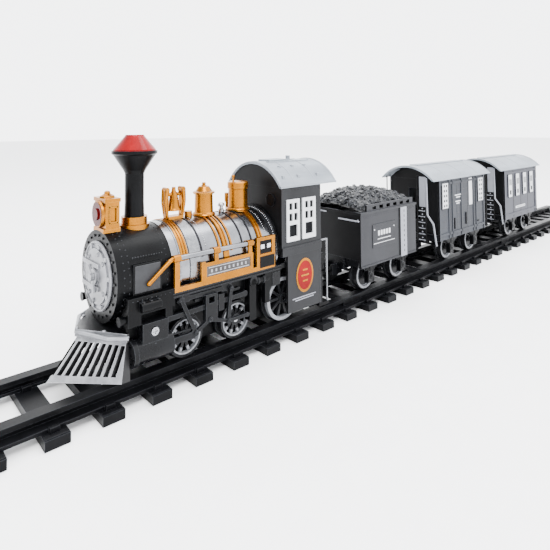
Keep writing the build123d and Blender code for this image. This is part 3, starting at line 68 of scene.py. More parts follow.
# ----------------------------------------------------------------- materials
class Nodes:
    """Short-hand for building one node material."""

    def __init__(self, name):
        self.material = bpy.data.materials.new(name)
        self.material.use_nodes = True
        self.tree = self.material.node_tree
        self.shader = self.tree.nodes["Principled BSDF"]
        coords = self.tree.nodes.new("ShaderNodeTexCoord")
        self.place = coords.outputs["Object"]

    def node(self, kind):
        """A new node."""
        return self.tree.nodes.new(kind)

    def link(self, source, target):
        """Join an output to an input."""
        self.tree.links.new(source, target)

    def noise(self, scale, detail=4.0, rough=0.6, stretch=None):
        """Noise over the object, stretched if asked."""
        source = self.place
        if stretch:
            mapping = self.node("ShaderNodeMapping")
            mapping.inputs["Scale"].default_value = stretch
            self.link(source, mapping.inputs["Vector"])
            source = mapping.outputs["Vector"]
        made = self.node("ShaderNodeTexNoise")
        made.inputs["Scale"].default_value = scale
        made.inputs["Detail"].default_value = detail
        made.inputs["Roughness"].default_value = rough
        self.link(source, made.inputs["Vector"])
        return made.outputs["Fac"]

    def math(self, operation, a, b=None):
        """One sum on numbers or outputs."""
        made = self.node("ShaderNodeMath")
        made.operation = operation
        for index, value in enumerate((a, b)):
            if value is None:
                continue
            if isinstance(value, (int, float)):
                made.inputs[index].default_value = value
            else:
                self.link(value, made.inputs[index])
        return made.outputs[0]

    def span(self, value, low, high, to_low, to_high):
        """Map a value from one range to another."""
        made = self.node("ShaderNodeMapRange")
        for index, number in enumerate((low, high, to_low, to_high)):
            made.inputs[index + 1].default_value = number
        self.link(value, made.inputs[0])
        return made.outputs[0]

    def mix(self, factor, a, b):
        """Mix two colours."""
        made = self.node("ShaderNodeMix")
        made.data_type = "RGBA"
        for socket, value in ((made.inputs[0], factor), (made.inputs[6], a), (made.inputs[7], b)):
            if isinstance(value, (int, float)):
                socket.default_value = value
            elif isinstance(value, (tuple, list)):
                socket.default_value = (*value, 1.0)
            else:
                self.link(value, socket)
        return made.outputs[2]

    def blend(self, value, low, high, a, b):
        """Colour a to colour b as a value goes from low to high."""
        return self.mix(self.span(value, low, high, 0.0, 1.0), a, b)

    def finish(self, colour, roughness, gloss, height, strength, distance=0.0002):
        """Wire the shader and return the material."""
        self.link(colour, self.shader.inputs["Base Color"])
        self.link(roughness, self.shader.inputs["Roughness"])
        self.shader.inputs["Specular IOR Level"].default_value = gloss
        self.bump(height, strength, distance)
        return self.material

    def parts(self, vector=None):
        """The X, Y and Z of a vector, by default the place on the object."""
        split = self.node("ShaderNodeSeparateXYZ")
        self.link(self.place if vector is None else vector, split.inputs[0])
        return tuple(split.outputs)

    def edges(self, radius):
        """1 on convex and concave edges, 0 on open faces."""
        bevel = self.node("ShaderNodeBevel")
        bevel.samples = 4
        bevel.inputs["Radius"].default_value = radius
        geometry = self.node("ShaderNodeNewGeometry")
        dot = self.node("ShaderNodeVectorMath")
        dot.operation = "DOT_PRODUCT"
        self.link(bevel.outputs["Normal"], dot.inputs[0])
        self.link(geometry.outputs["Normal"], dot.inputs[1])
        return self.span(dot.outputs["Value"], 0.99, 0.80, 0.0, 1.0)

    def facing(self, axis):
        """1 on faces that look along an axis, 0 elsewhere."""
        normal = self.parts(self.node("ShaderNodeNewGeometry").outputs["True Normal"])
        return self.span(self.math("ABSOLUTE", normal[axis]), 0.90, 0.97, 0.0, 1.0)

    def bump(self, height, strength, distance):
        """Raise the surface by a height."""
        made = self.node("ShaderNodeBump")
        made.inputs["Strength"].default_value = strength
        made.inputs["Distance"].default_value = distance
        self.link(height, made.inputs["Height"])
        self.link(made.outputs["Normal"], self.shader.inputs["Normal"])


def surface(
    name, colour, rough, metal=0.0, vary=0.18, grain=900.0, bump=0.15, edge_wear_and_highlight=None, stretch=None, gloss=0.5,
    ends=None,
):
    """A moulded or plated surface with mottling, fine grain, worn edges that also carry a painted highlight,
    and, when asked, ends painted dark as shade.
    """
    n = Nodes(name)
    large = n.noise(55.0, 5.0, 0.62, stretch)
    fine = n.noise(grain, 3.0, 0.6)
    dark = tuple(c * (1 - vary) for c in colour)
    light = tuple(min(1.0, c * (1 + vary)) for c in colour)
    shade = n.blend(large, 0.35, 0.65, dark, light)
    # Faces that look along X, the vehicle ends, are painted near black as shade; they are the same plastic as
    # the sides.
    if ends:
        shade = n.mix(n.facing(0), shade, ends)
    # Edges are lightened, partly as wear and partly as a painted highlight.
    if edge_wear_and_highlight:
        mask = n.math("MULTIPLY", n.edges(0.0004), n.span(fine, 0.3, 0.6, 0.45, 1.0))
        shade = n.mix(n.math("MULTIPLY", mask, edge_wear_and_highlight[1]), shade, edge_wear_and_highlight[0])
    broad = n.span(large, 0.3, 0.7, rough * 0.85, rough * 1.15)
    roughness = n.math("ADD", broad, n.span(fine, 0.3, 0.7, -0.03, 0.03))
    n.shader.inputs["Metallic"].default_value = metal
    height = n.math("ADD", n.math("MULTIPLY", fine, 0.6), n.math("MULTIPLY", large, 0.4))
    return n.finish(shade, roughness, gloss, height, bump)


def lens_red(name, low, high):
    """Glossy red moulded lens between two shades."""
    n = Nodes(name)
    cloud = n.noise(160.0, 3.0)
    shade = n.blend(cloud, 0.3, 0.7, low, high)
    return n.finish(shade, n.span(cloud, 0.3, 0.7, 0.05, 0.16), 0.12, n.noise(420.0, 2.0), 0.12, 0.0003)


def wheel_surface(name, centre, rim_inner, rim_outer):
    """Dark wheel plastic with a pale painted rim on the outer face and painted highlights on its edges."""
    n = Nodes(name)
    x, y, z = n.parts()
    dx = n.math("SUBTRACT", x, centre[0])
    dz = n.math("SUBTRACT", z, centre[1])
    square = n.math("ADD", n.math("MULTIPLY", dx, dx), n.math("MULTIPLY", dz, dz))
    radius = n.math("SQRT", square)
    jitter = n.math("MULTIPLY", n.math("SUBTRACT", n.noise(600.0), 0.5), 0.0004)
    radius = n.math("ADD", radius, jitter)
    rim = n.math(
        "MULTIPLY", n.math("GREATER_THAN", radius, rim_inner), n.math("LESS_THAN", radius, rim_outer),
    )
    outer = n.math("GREATER_THAN", n.math("ABSOLUTE", y), WHEEL_FACE)
    mask = n.math("MULTIPLY", rim, outer)
    fine = n.noise(800.0, 3.0)
    dark = n.blend(fine, 0.3, 0.7, (0.003, 0.003, 0.0036), (0.008, 0.0085, 0.0098))
    pale = n.blend(fine, 0.3, 0.7, (0.13, 0.134, 0.146), (0.23, 0.237, 0.252))
    shade = n.mix(mask, dark, pale)
    # Edges lightened as a painted highlight.
    shade = n.mix(n.math("MULTIPLY", n.edges(0.0004), 0.35), shade, (0.13, 0.134, 0.145))
    return n.finish(shade, n.span(fine, 0.3, 0.7, 0.3, 0.5), 0.14, fine, 0.15)


def pane_surface(name):
    """Dark smoked window pane."""
    n = Nodes(name)
    cloud = n.noise(90.0)
    shade = n.blend(cloud, 0.3, 0.7, (0.0015, 0.0015, 0.002), (0.006, 0.0063, 0.0075))
    return n.finish(shade, n.span(cloud, 0.3, 0.7, 0.22, 0.34), 0.03, n.noise(300.0), 0.08)


# Near black used as painted shade on vehicle ends, under the roof arches and inside the cowcatcher slots, and
# as the cowcatcher's black top deck.
PAINTED_SHADE_BLACK = (0.0022, 0.0022, 0.0026)


def inside_arch(n, crown, base, half, skin):
    """1 in the space under a roof's arched skin, 0 in the skin."""
    rise = crown - base
    radius = (half * half + rise * rise) / (2 * rise)
    _, y, z = n.parts()
    dz = n.math("SUBTRACT", z, crown - radius)
    square = n.math("ADD", n.math("MULTIPLY", y, y), n.math("MULTIPLY", dz, dz))
    return n.math("LESS_THAN", n.math("SQRT", square), radius - skin)


def roof_surface(name, crown, base, half, skin):
    """Pale roof plastic with streaks and painted edge highlights, painted near black as shade in the hollow
    of the arch.
    """
    n = Nodes(name)
    streak = n.noise(48.0, 4.0, 0.6, (0.25, 1.6, 1))
    fine = n.noise(900.0, 3.0, 0.6)
    shade = n.blend(streak, 0.35, 0.65, (0.15, 0.168, 0.19), (0.235, 0.26, 0.29))
    # Edges lightened as a painted highlight.
    shade = n.mix(n.math("MULTIPLY", n.edges(0.0005), 0.6), shade, (0.46, 0.50, 0.54))
    # The end wall under the arch is painted near black as shade.
    shade = n.mix(inside_arch(n, crown, base, half, skin), shade, PAINTED_SHADE_BLACK)
    height = n.math("ADD", fine, streak)
    return n.finish(shade, n.span(streak, 0.3, 0.7, 0.34, 0.5), 0.1, height, 0.15)


def plow_surface(name):
    """Silver paint outside with painted edge highlights, black deck on top and painted shade inside the
    slots.
    """
    n = Nodes(name)
    large = n.noise(120.0, 4.0)
    fine = n.noise(900.0, 3.0)
    shade = n.blend(large, 0.35, 0.65, (0.14, 0.144, 0.155), (0.27, 0.276, 0.29))
    # Edges lightened, partly as wear and partly as a painted highlight.
    shade = n.mix(
        n.math("MULTIPLY", n.edges(0.0004), n.span(fine, 0.3, 0.6, 0.3, 0.8)), shade, (0.62, 0.63, 0.65),
    )
    # Faces turned away from the front, inside the slots, are painted near black as shade and lose their
    # metal; the top deck is black too.
    normal = n.parts(n.node("ShaderNodeNewGeometry").outputs["True Normal"])
    dark = n.math("MAXIMUM", n.math("LESS_THAN", normal[0], 0.25), n.math("GREATER_THAN", normal[2], 0.9))
    n.link(n.math("MULTIPLY", n.math("SUBTRACT", 1.0, dark), 0.45), n.shader.inputs["Metallic"])
    shade = n.mix(dark, shade, PAINTED_SHADE_BLACK)
    return n.finish(shade, n.span(large, 0.3, 0.7, 0.28, 0.44), 0.3, fine, 0.2)


def band_surface(name, gold_places, half_width):
    """Gold plating near the given X places and bright plating elsewhere."""
    n = Nodes(name)
    place = n.parts()[0]
    mask = None
    for x in gold_places:
        near = n.math("LESS_THAN", n.math("ABSOLUTE", n.math("SUBTRACT", place, x)), half_width)
        mask = near if mask is None else n.math("MAXIMUM", mask, near)
    fine = n.noise(600.0, 3.0)
    gold = n.blend(fine, 0.3, 0.7, GOLD_DARK, GOLD_LIGHT)
    bright = n.blend(fine, 0.3, 0.7, (0.13, 0.133, 0.142), (0.20, 0.205, 0.215))
    n.shader.inputs["Metallic"].default_value = 0.95
    return n.finish(n.mix(mask, bright, gold), n.span(fine, 0.3, 0.7, 0.2, 0.3), 0.5, fine, 0.1)


GOLD_DARK = (0.21, 0.073, 0.0040)
GOLD_LIGHT = (0.32, 0.125, 0.0080)
M = {
    "track": surface(
        "track_plastic", (0.0022, 0.0023, 0.0028), 0.38, vary=0.4, edge_wear_and_highlight=((0.042, 0.044, 0.051), 0.75),
        gloss=0.06,
    ),
    "black": surface(
        "satin_black_plastic", (0.0014, 0.0015, 0.0018), 0.32, vary=0.4, edge_wear_and_highlight=((0.030, 0.031, 0.034), 0.6),
        gloss=0.07,
    ),
    "gear": surface(
        "dark_grey_moulding", (0.0034, 0.0036, 0.0043), 0.30, vary=0.5, edge_wear_and_highlight=((0.066, 0.070, 0.078), 0.75),
        gloss=0.11,
    ),
    "panel": surface(
        "smokebox_panel_grey", (0.024, 0.0245, 0.0265), 0.42, vary=0.25, edge_wear_and_highlight=((0.09, 0.094, 0.10), 0.6),
        gloss=0.12,
    ),
    "cab": surface(
        "cab_grey_plastic", (0.013, 0.0133, 0.0145), 0.42, vary=0.18, edge_wear_and_highlight=((0.055, 0.057, 0.062), 0.6),
        stretch=(1, 1, 0.35), gloss=0.10, ends=PAINTED_SHADE_BLACK,
    ),
    "grey": surface(
        "tender_grey_plastic", (0.021, 0.0215, 0.0245), 0.42, vary=0.18, edge_wear_and_highlight=((0.075, 0.078, 0.085), 0.6),
        stretch=(1, 1, 0.35), gloss=0.10, ends=PAINTED_SHADE_BLACK,
    ),
    "wagon": surface(
        "wagon_grey_plastic", (0.027, 0.0295, 0.0355), 0.45, vary=0.2, edge_wear_and_highlight=((0.10, 0.106, 0.12), 0.6),
        stretch=(1, 1, 0.35), gloss=0.10, ends=PAINTED_SHADE_BLACK,
    ),
    "lilac": surface(
        "coach_grey_plastic", (0.046, 0.0475, 0.059), 0.45, vary=0.16, edge_wear_and_highlight=((0.14, 0.145, 0.165), 0.6),
        stretch=(1, 1, 0.35), gloss=0.10, ends=PAINTED_SHADE_BLACK,
    ),
    "roof": surface(
        "pale_roof_plastic", (0.19, 0.21, 0.235), 0.42, vary=0.14, edge_wear_and_highlight=((0.46, 0.50, 0.54), 0.6),
        gloss=0.2,
    ),
    "silver": surface(
        "silver_painted_plastic", (0.22, 0.225, 0.24), 0.36, metal=0.35, vary=0.2,
        edge_wear_and_highlight=((0.55, 0.56, 0.58), 0.6),
    ),
    "door": surface(
        "door_silver_plastic", (0.17, 0.173, 0.186), 0.34, metal=0.4, vary=0.45, grain=500.0, bump=0.4,
        edge_wear_and_highlight=((0.66, 0.67, 0.69), 0.6),
    ),
    "chrome": surface(
        "bright_plated_plastic", (0.165, 0.168, 0.18), 0.20, metal=1.0, vary=0.22, grain=500.0, bump=0.10,
        edge_wear_and_highlight=((0.42, 0.43, 0.45), 0.5),
    ),
    "gold": surface(
        "gold_plated_plastic", (0.265, 0.096, 0.0050), 0.28, metal=0.92, vary=0.2, grain=600.0, bump=0.12,
        edge_wear_and_highlight=((0.60, 0.31, 0.055), 0.7), gloss=0.2,
    ),
    "white": surface(
        "white_plastic", (0.50, 0.51, 0.53), 0.34, vary=0.06, edge_wear_and_highlight=((0.7, 0.7, 0.72), 0.4), gloss=0.2,
    ),
    "strip": surface(
        "pale_grey_trim", (0.21, 0.218, 0.245), 0.40, vary=0.12, edge_wear_and_highlight=((0.38, 0.39, 0.42), 0.5), gloss=0.2,
    ),
    "plate": surface(
        "nameplate_grey", (0.050, 0.046, 0.046), 0.36, metal=0.2, vary=0.3, edge_wear_and_highlight=((0.26, 0.25, 0.24), 0.6),
        gloss=0.15,
    ),
    "steel": surface(
        "bright_steel", (0.27, 0.275, 0.29), 0.24, metal=1.0, vary=0.16, grain=1200.0,
        edge_wear_and_highlight=((0.55, 0.56, 0.58), 0.5),
    ),
    "coal": surface(
        "coal_lumps", (0.0030, 0.0032, 0.0038), 0.30, vary=0.85, grain=1400.0, bump=0.4,
        edge_wear_and_highlight=((0.20, 0.21, 0.235), 0.7), gloss=0.18,
    ),
    "nylon": surface("natural_nylon", (0.40, 0.39, 0.34), 0.45, vary=0.06),
    "board": surface("green_laminate", (0.006, 0.05, 0.018), 0.4, vary=0.2),
    "cell": surface("cell_sleeve", (0.012, 0.03, 0.11), 0.3, vary=0.15),
    "enamel": surface(
        "red_enamel", (0.155, 0.0035, 0.004), 0.34, vary=0.2, edge_wear_and_highlight=((0.30, 0.03, 0.02), 0.5), gloss=0.06,
    ),
    "red": lens_red("red_lens", (0.12, 0.0003, 0.0012), (0.19, 0.0007, 0.0022)),
    "lamp_red": lens_red("lamp_lens", (0.035, 0.0010, 0.0010), (0.075, 0.0020, 0.0020)),
    "pane": pane_surface("smoked_pane"),
    "plow": plow_surface("plow_paint"),
    "bands": band_surface("band_plating", (FRONT - SAND * MM, FRONT - STEAM * MM), 2.6 * MM),
    "cab_roof": roof_surface("cab_roof_plastic", *CAB_ROOF, 1.5 * MM),
    "car_roof": roof_surface("car_roof_plastic", *CAR_ROOF, 1.5 * MM),
}

NODE_MATERIAL = {
    "track_front": "track", "track_middle": "track", "track_rear": "track",
    "locomotive_chassis": "black", "cylinder_blocks": "gear", "cowcatcher": "plow",
    "smokebox_shell": "black", "smokebox_door": "door", "boiler_shell": "chrome",
    "boiler_bands": "bands", "chimney": "black", "chimney_collar": "gold", "chimney_cap": "red",
    "headlamp_housing": "gold", "headlamp_lens": "lamp_red", "bell": "gold", "sand_dome": "gold",
    "steam_dome": "gold", "handrails": "chrome", "nameplate_frames": "gold", "cab_shell": "cab",
    "cab_window_frames": "white", "cab_roof": "cab_roof", "battery_cells": "cell",
    "battery_contacts": "steel", "battery_cover": "black", "circuit_board": "board",
    "speaker": "black", "lamp_leds": "white", "chassis_screws": "steel", "drive_motor": "steel",
    "front_driver_axle": "steel", "rear_driver_axle": "steel", "trailing_axle": "steel",
    "axle_gear": "nylon", "idler_gear": "nylon", "motor_pinion": "gold", "power_switch_knob": "gear",
    "tender_underframe": "gear", "tender_body": "grey", "coal_load": "coal", "tender_drawbar": "black",
    "boxcar_underframe": "gear", "boxcar_body": "wagon", "boxcar_roof": "car_roof", "boxcar_drawbar": "black",
    "coach_underframe": "gear", "coach_body": "lilac", "coach_roof": "car_roof", "coach_drawbar": "black",
}
WHEELS = {
    "front_drivers": (6.4, 9.6), "rear_drivers": (6.4, 9.6), "trailing_wheels": (11.6, 14.2),
    "tender_front_wheelset": (8.4, 10.6), "tender_rear_wheelset": (8.4, 10.6),
    "boxcar_front_wheelset": (8.4, 10.6), "boxcar_rear_wheelset": (8.4, 10.6),
    "coach_front_wheelset": (8.4, 10.6), "coach_rear_wheelset": (8.4, 10.6),
}


def dress(node, material):
    """Give a CAD node one material."""
    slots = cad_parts[node].data.materials
    slots.clear()
    slots.append(material)


for node, key in NODE_MATERIAL.items():
    dress(node, M[key])
for node, (inner, outer) in WHEELS.items():
    low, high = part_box(node)
    centre = ((low[0] + high[0]) / 2, (low[2] + high[2]) / 2)
    dress(node, wheel_surface(node + "_plastic", centre, inner * MM, outer * MM))


# -------------------------------------------------------------- mesh helpers
class Shape:
    """Collects mesh parts for one piece."""

    def __init__(self):
        self.bm = bmesh.new()

    def box(self, x, y, z):
        """A box between (low, high) limits in metres."""
        size = Vector((abs(x[1] - x[0]), abs(y[1] - y[0]), abs(z[1] - z[0])))
        middle = Vector(((x[0] + x[1]) / 2, (y[0] + y[1]) / 2, (z[0] + z[1]) / 2))
        bmesh.ops.create_cube(
            self.bm, size=1.0, matrix=Matrix.Translation(middle) @ Matrix.Diagonal((*size, 1.0)),
        )
        return self

    def slab(self, behind, y, above, side=1):
        """A box in mm: behind the front, out to one side, above the rail."""
        a, b = at(behind[0], side * y[0], above[0]), at(behind[1], side * y[1], above[1])
        return self.box((a.x, b.x), (a.y, b.y), (a.z, b.z))

    def rod(self, start, end, radius, end_radius=None, segments=20):
        """A round bar or cone between two points."""
        start, end = Vector(start), Vector(end)
        along = end - start
        turn = along.to_track_quat("Z", "Y").to_matrix().to_4x4()
        place = Matrix.Translation((start + end) / 2) @ turn
        bmesh.ops.create_cone(
            self.bm, cap_ends=True, segments=segments, radius1=radius,
            radius2=radius if end_radius is None else end_radius, depth=along.length, matrix=place,
        )
        return self

    def pipe(self, points, radius, segments=14):
        """Round bars along a path with balls at the bends."""
        points = [Vector(p) for p in points]
        for a, b in zip(points, points[1:]):
            self.rod(a, b, radius, segments=segments)
        for p in points[1:-1]:
            self.ball(p, radius)
        return self

    def ball(self, centre, radius, squash=(1, 1, 1)):
        place = Matrix.Translation(Vector(centre)) @ Matrix.Diagonal((*squash, 1.0))
        bmesh.ops.create_icosphere(self.bm, subdivisions=2, radius=radius, matrix=place)
        return self

    def rivet(self, centre, radius=0.45 * MM):
        place = Matrix.Translation(Vector(centre))
        bmesh.ops.create_icosphere(self.bm, subdivisions=1, radius=radius, matrix=place)
        return self

    def sweep(self, rows):
        """A closed bar skinned over rows of four points."""
        rows = [[self.bm.verts.new(point) for point in row] for row in rows]
        for a, b in zip(rows, rows[1:]):
            for k in range(4):
                self.bm.faces.new((a[k], a[(k + 1) % 4], b[(k + 1) % 4], b[k]))
        self.bm.faces.new(rows[0])
        self.bm.faces.new(list(reversed(rows[-1])))

    def lathe(self, centre, profile, segments=40, axis="Z"):
        """A turned form about Z or X from (radius, height) pairs in mm."""
        rings = []
        for radius, height in profile:
            ring = []
            for i in range(segments):
                angle = 2 * pi * i / segments
                u, v, w = radius * MM * cos(angle), radius * MM * sin(angle), height * MM
                offset = Vector((w, u, v)) if axis == "X" else Vector((u, v, w))
                ring.append(self.bm.verts.new(Vector(centre) + offset))
            rings.append(ring)
        for a, b in zip(rings, rings[1:]):
            for i in range(segments):
                j = (i + 1) % segments
                self.bm.faces.new((a[i], a[j], b[j], b[i]))
        self.bm.faces.new(list(reversed(rings[0])))
        self.bm.faces.new(rings[-1])
        return self

    def make(self, name, body, finish, bevel=0.0, slot=None):
        """Finish the piece and let it ride on a body."""
        bmesh.ops.recalc_face_normals(self.bm, faces=self.bm.faces)
        mesh = bpy.data.meshes.new(name)
        self.bm.to_mesh(mesh)
        self.bm.free()
        mesh.materials.append(M[finish])
        made = bpy.data.objects.new(name, mesh)
        bpy.context.scene.collection.objects.link(made)
        if bevel:
            rounding = made.modifiers.new("edge_rounding", "BEVEL")
            rounding.width = bevel * MM
            rounding.segments = 2
            rounding.limit_method = "ANGLE"
            rounding.angle_limit = radians(40)
        for polygon in mesh.polygons:
            polygon.use_smooth = True
        smooth = made.modifiers.new("weighted", "WEIGHTED_NORMAL")
        smooth.keep_sharp = True
        mesh.set_sharp_from_angle(angle=radians(35))
        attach(made, body)
        return made


def ring_point(behind, angle, radius):
    """A point round the boiler; angle 0 is up, positive to the left."""
    return Vector((FRONT - behind * MM, radius * sin(angle), AXIS_Z + radius * cos(angle)))


def hoop(shape, behind, width, thick, span=(-1.35, 1.35), base=None):
    """A raised strap over the boiler between two angles."""
    base = BOILER_R if base is None else base
    steps = 48
    rows = []
    for i in range(steps + 1):
        angle = span[0] + (span[1] - span[0]) * i / steps
        corners = ((-1, -0.2), (-1, thick), (1, thick), (1, -0.2))
        rows.append([ring_point(behind + end * width / 2, angle, base + up * MM) for end, up in corners])
    shape.sweep(rows)


LOCO = "locomotive"
SIDES = (1, -1)

# ---------------------------------------------------------- smokebox, boiler
rivets = Shape()
for behind, count, reach in ((2.6, 30, 2.2), (5.4, 34, 2.2), (27.0, 34, 2.2)):
    for i in range(count):
        angle = -reach + 2 * reach * i / (count - 1)
        rivets.rivet(ring_point(behind, angle, BOILER_R), 0.4 * MM)
for side in SIDES:
    for i in range(12):
        rivets.rivet(at(7 + 1.5 * i, side * 23.6, 61.5), 0.38 * MM)
rivets.make("smokebox_rivets", LOCO, "gear", slot="smokebox_plastic")

bright = Shape()
for behind, count in ((31.2, 44), (33.4, 44), (53.0, 40), (99.0, 40), (105.2, 40)):
    for i in range(count):
        angle = -1.3 + 2.6 * i / (count - 1)
        bright.rivet(ring_point(behind, angle, BOILER_R + 0.05 * MM), 0.36 * MM)
bright.make("boiler_rivets", LOCO, "steel")

collar = Shape()
hoop(collar, 32.2, 4.2, 0.3)
collar.make("smokebox_collar", LOCO, "chrome")

straps = Shape()
for behind, width in ((43.0, 0.9), (49.6, 0.9), (79.0, 0.9), (86.4, 0.9), (103.0, 0.9)):
    hoop(straps, behind, width, 0.45)
straps.make("boiler_straps", LOCO, "gear")

ribs = Shape()
hoop(ribs, 37.6, 5.4, 0.5)
for behind in (35.8, 37.6, 39.4):
    hoop(ribs, behind, 0.8, 1.0)
for behind in (64.9, 67.3, 92.2, 94.4):
    hoop(ribs, behind, 0.8, 0.45, base=BOILER_R + 0.6 * MM)
for behind in (61.8, 70.4):
    hoop(ribs, behind, 1.2, 0.7)
ribs.make("band_ribs", LOCO, "gold")

panels = Shape()
for side in SIDES:
    panels.slab((7.8, 22.2), (24.6, 25.1), (43.2, 57.2), side)
panels.make("smokebox_panels", LOCO, "panel", bevel=0.25)

door = Shape()
for i in range(10):
    angle = 2 * pi * i / 10 + 0.2
    y, z = 16.2 * MM * sin(angle), 16.2 * MM * cos(angle)
    door.box(
        (FRONT + 1.6 * MM, FRONT + 3.0 * MM), (y - 1.1 * MM, y + 1.1 * MM),
        (AXIS_Z + z - 1.1 * MM, AXIS_Z + z + 1.1 * MM),
    )
door.lathe((FRONT, 0, AXIS_Z), ((18.3, 1.2), (18.6, 1.9), (18.2, 2.5), (17.5, 2.6), (17.1, 1.9)), axis="X")
door.rod((FRONT + 4 * MM, -6 * MM, AXIS_Z + 5 * MM), (FRONT + 4 * MM, 0, AXIS_Z), 0.7 * MM)
door.rod((FRONT + 4 * MM, 2 * MM, AXIS_Z - 8 * MM), (FRONT + 4 * MM, 0, AXIS_Z), 0.7 * MM)
for sy, sz in ((9, 8), (-9, 9), (10, -7), (-8, -10), (3, 12), (-2, -13)):
    door.ball((FRONT + 2.9 * MM, sy * MM, AXIS_Z + sz * MM), 1.3 * MM, (0.6, 1, 1))
door.make("door_fittings", LOCO, "door", bevel=0.2)

# -------------------------------------------------------- lamp, bell, fittings
lamp = Shape()
lamp.lathe(
    at(3.2, 0, 90.4), ((4.4, 0), (4.0, 1.0), (3.0, 1.5), (2.0, 2.0), (1.4, 2.7), (1.7, 3.2), (0.8, 3.7)),
    segments=8,
)
lamp.lathe(at(0, 0, 82.0), ((7.0, 0.4), (7.4, 1.2), (7.0, 2.4), (6.2, 2.5)), axis="X")
for side in SIDES:
    for y0, y1, z0, z1 in (
        (1.2, 6.0, 77.2, 78.2), (1.2, 6.0, 85.4, 86.4), (1.2, 2.0, 77.2, 86.4), (5.2, 6.0, 77.2, 86.4),
    ):
        lamp.slab((y0, y1), (7.3, 7.9), (z0, z1), side)
lamp.make("headlamp_trim", LOCO, "gold", bevel=0.15)

crown = Shape()
for behind, lean in ((39.2, 1), (49.6, -1)):
    for side in SIDES:
        crown.rod(at(behind, side * 1.4, 75), at(behind - lean * 1.2, side * 1.6, 84), 0.9 * MM, 1.1 * MM)
        crown.rod(
            at(behind - lean * 1.2, side * 1.6, 84), at(behind - lean * 0.2, side * 2.0, 91.5), 1.1 * MM,
            1.5 * MM,
        )
    crown.rod(at(behind - lean * 0.2, -2.4, 91.4), at(behind - lean * 0.2, 2.4, 91.4), 1.3 * MM)
crown.lathe(
    at(BELL, 0, 78.6), ((4.6, 0), (4.4, 0.7), (3.4, 2.2), (2.9, 6.0), (2.4, 9.5), (1.3, 11.8), (1.0, 13.8)),
)
crown.make("bell_trim", LOCO, "gold")

moulding = Shape()
moulding.lathe(at(SAND, 0, 73.0), ((6.9, 0), (7.3, 0.7), (6.9, 1.5), (6.0, 2.2)))
moulding.lathe(at(SAND, 0, 86.4), ((5.8, 0), (6.9, 0.6), (7.0, 1.3), (5.8, 1.9)))
moulding.lathe(at(SAND, 0, 91.0), ((2.2, 0), (1.6, 0.8), (0.9, 1.3), (1.5, 2.0), (0.9, 2.7)))
moulding.lathe(at(STEAM, 0, 73.4), ((7.7, 0), (8.0, 0.7), (7.6, 1.5), (6.7, 2.1)))
moulding.lathe(at(STEAM, 0, 87.4), ((6.6, 0), (7.0, 0.5), (7.0, 1.2), (6.4, 1.6)))
moulding.rod(at(88.0, 2, 90), at(88.0, 2, 96), 0.7 * MM)
moulding.ball(at(88.0, 2, 96), 1.1 * MM)
moulding.make("dome_mouldings", LOCO, "gold")

valve = Shape()
valve.lathe(
    at(79.6, 0, 73), ((2.0, 0), (1.8, 2.2), (1.2, 2.6), (1.2, 4.0), (2.1, 4.5), (2.2, 5.6), (1.2, 6.4)),
)
valve.rod(at(81.8, 0, 77.8), at(77.4, 0, 77.8), 0.8 * MM)
valve.make("safety_valve", LOCO, "steel")

sleeves = Shape()
for side in SIDES:
    sleeves.rod(at(29.0, side * PIPE_OUT, PIPE_UP), at(84.0, side * PIPE_OUT, PIPE_UP), 1.5 * MM)
sleeves.make("handrail_sleeves", LOCO, "chrome")

pipes = Shape()
for side in SIDES:
    pipes.pipe(
        [at(29.5, side * 26.2, 57.4), at(27.0, side * 26.4, 56.6), at(14.8, side * 26.4, 47.2)], 1.25 * MM,
    )
    pipes.ball(at(14.8, side * 26.4, 47.2), 1.3 * MM)
    for behind in (31.0, 57.0, 82.0):
        pipes.rod(
            at(behind - 2.2, side * PIPE_OUT, PIPE_UP), at(behind + 2.2, side * PIPE_OUT, PIPE_UP),
            2.1 * MM,
        )
        pipes.slab((behind - 1.4, behind + 1.4), (25.8, 27.4), (50.5, 57), side)
pipes.make("steam_pipes", LOCO, "gold", bevel=0.2)

plates = Shape()
for side in SIDES:
    plates.slab((50.2, 81.8), (26.8, 27.2), (43.6, 49.2), side)
plates.make("nameplate_fields", LOCO, "plate")
marks = Shape()
for side in SIDES:
    for i in range(9):
        middle = 53.5 + 3.1 * i
        marks.slab((middle - 0.5, middle + 0.5), (27.1, 27.4), (45.6, 47.2), side)
    marks.slab((51.2, 80.8), (27.1, 27.35), (44.2, 44.6), side)
    marks.slab((51.2, 80.8), (27.1, 27.35), (48.2, 48.6), side)
marks.make("nameplate_marks", LOCO, "silver")

lights = Shape()
backs = Shape()
for side in SIDES:
    backs.slab((89.7, 99.3), (26.4, 27.0), (49.1, 57.2), side)
    backs.slab((89.5, 101.5), (26.4, 27.7), (40.6, 47.6), side)
    for behind in (91.9, 97.1):
        lights.slab((behind - 1.5, behind + 1.5), (26.9, 27.5), (52.2, 54.8), side)
backs.make("marker_light_backs", LOCO, "black")
lights.make("marker_lights", LOCO, "white", bevel=0.4)

# ----------------------------------------------------------------------- cab
panes = Shape()
for side in SIDES:
    for a, b in ((112.4, 122.8), (126.8, 138.4)):
        panes.slab((a, b), (26.4, 27.8), (53.8, 79.8), side)
panes.make("cab_panes", LOCO, "pane", slot="valve_gear_plastic")

badge_ring, badge_face, badge_mark = Shape(), Shape(), Shape()
BADGE = (128.6, 28.6)


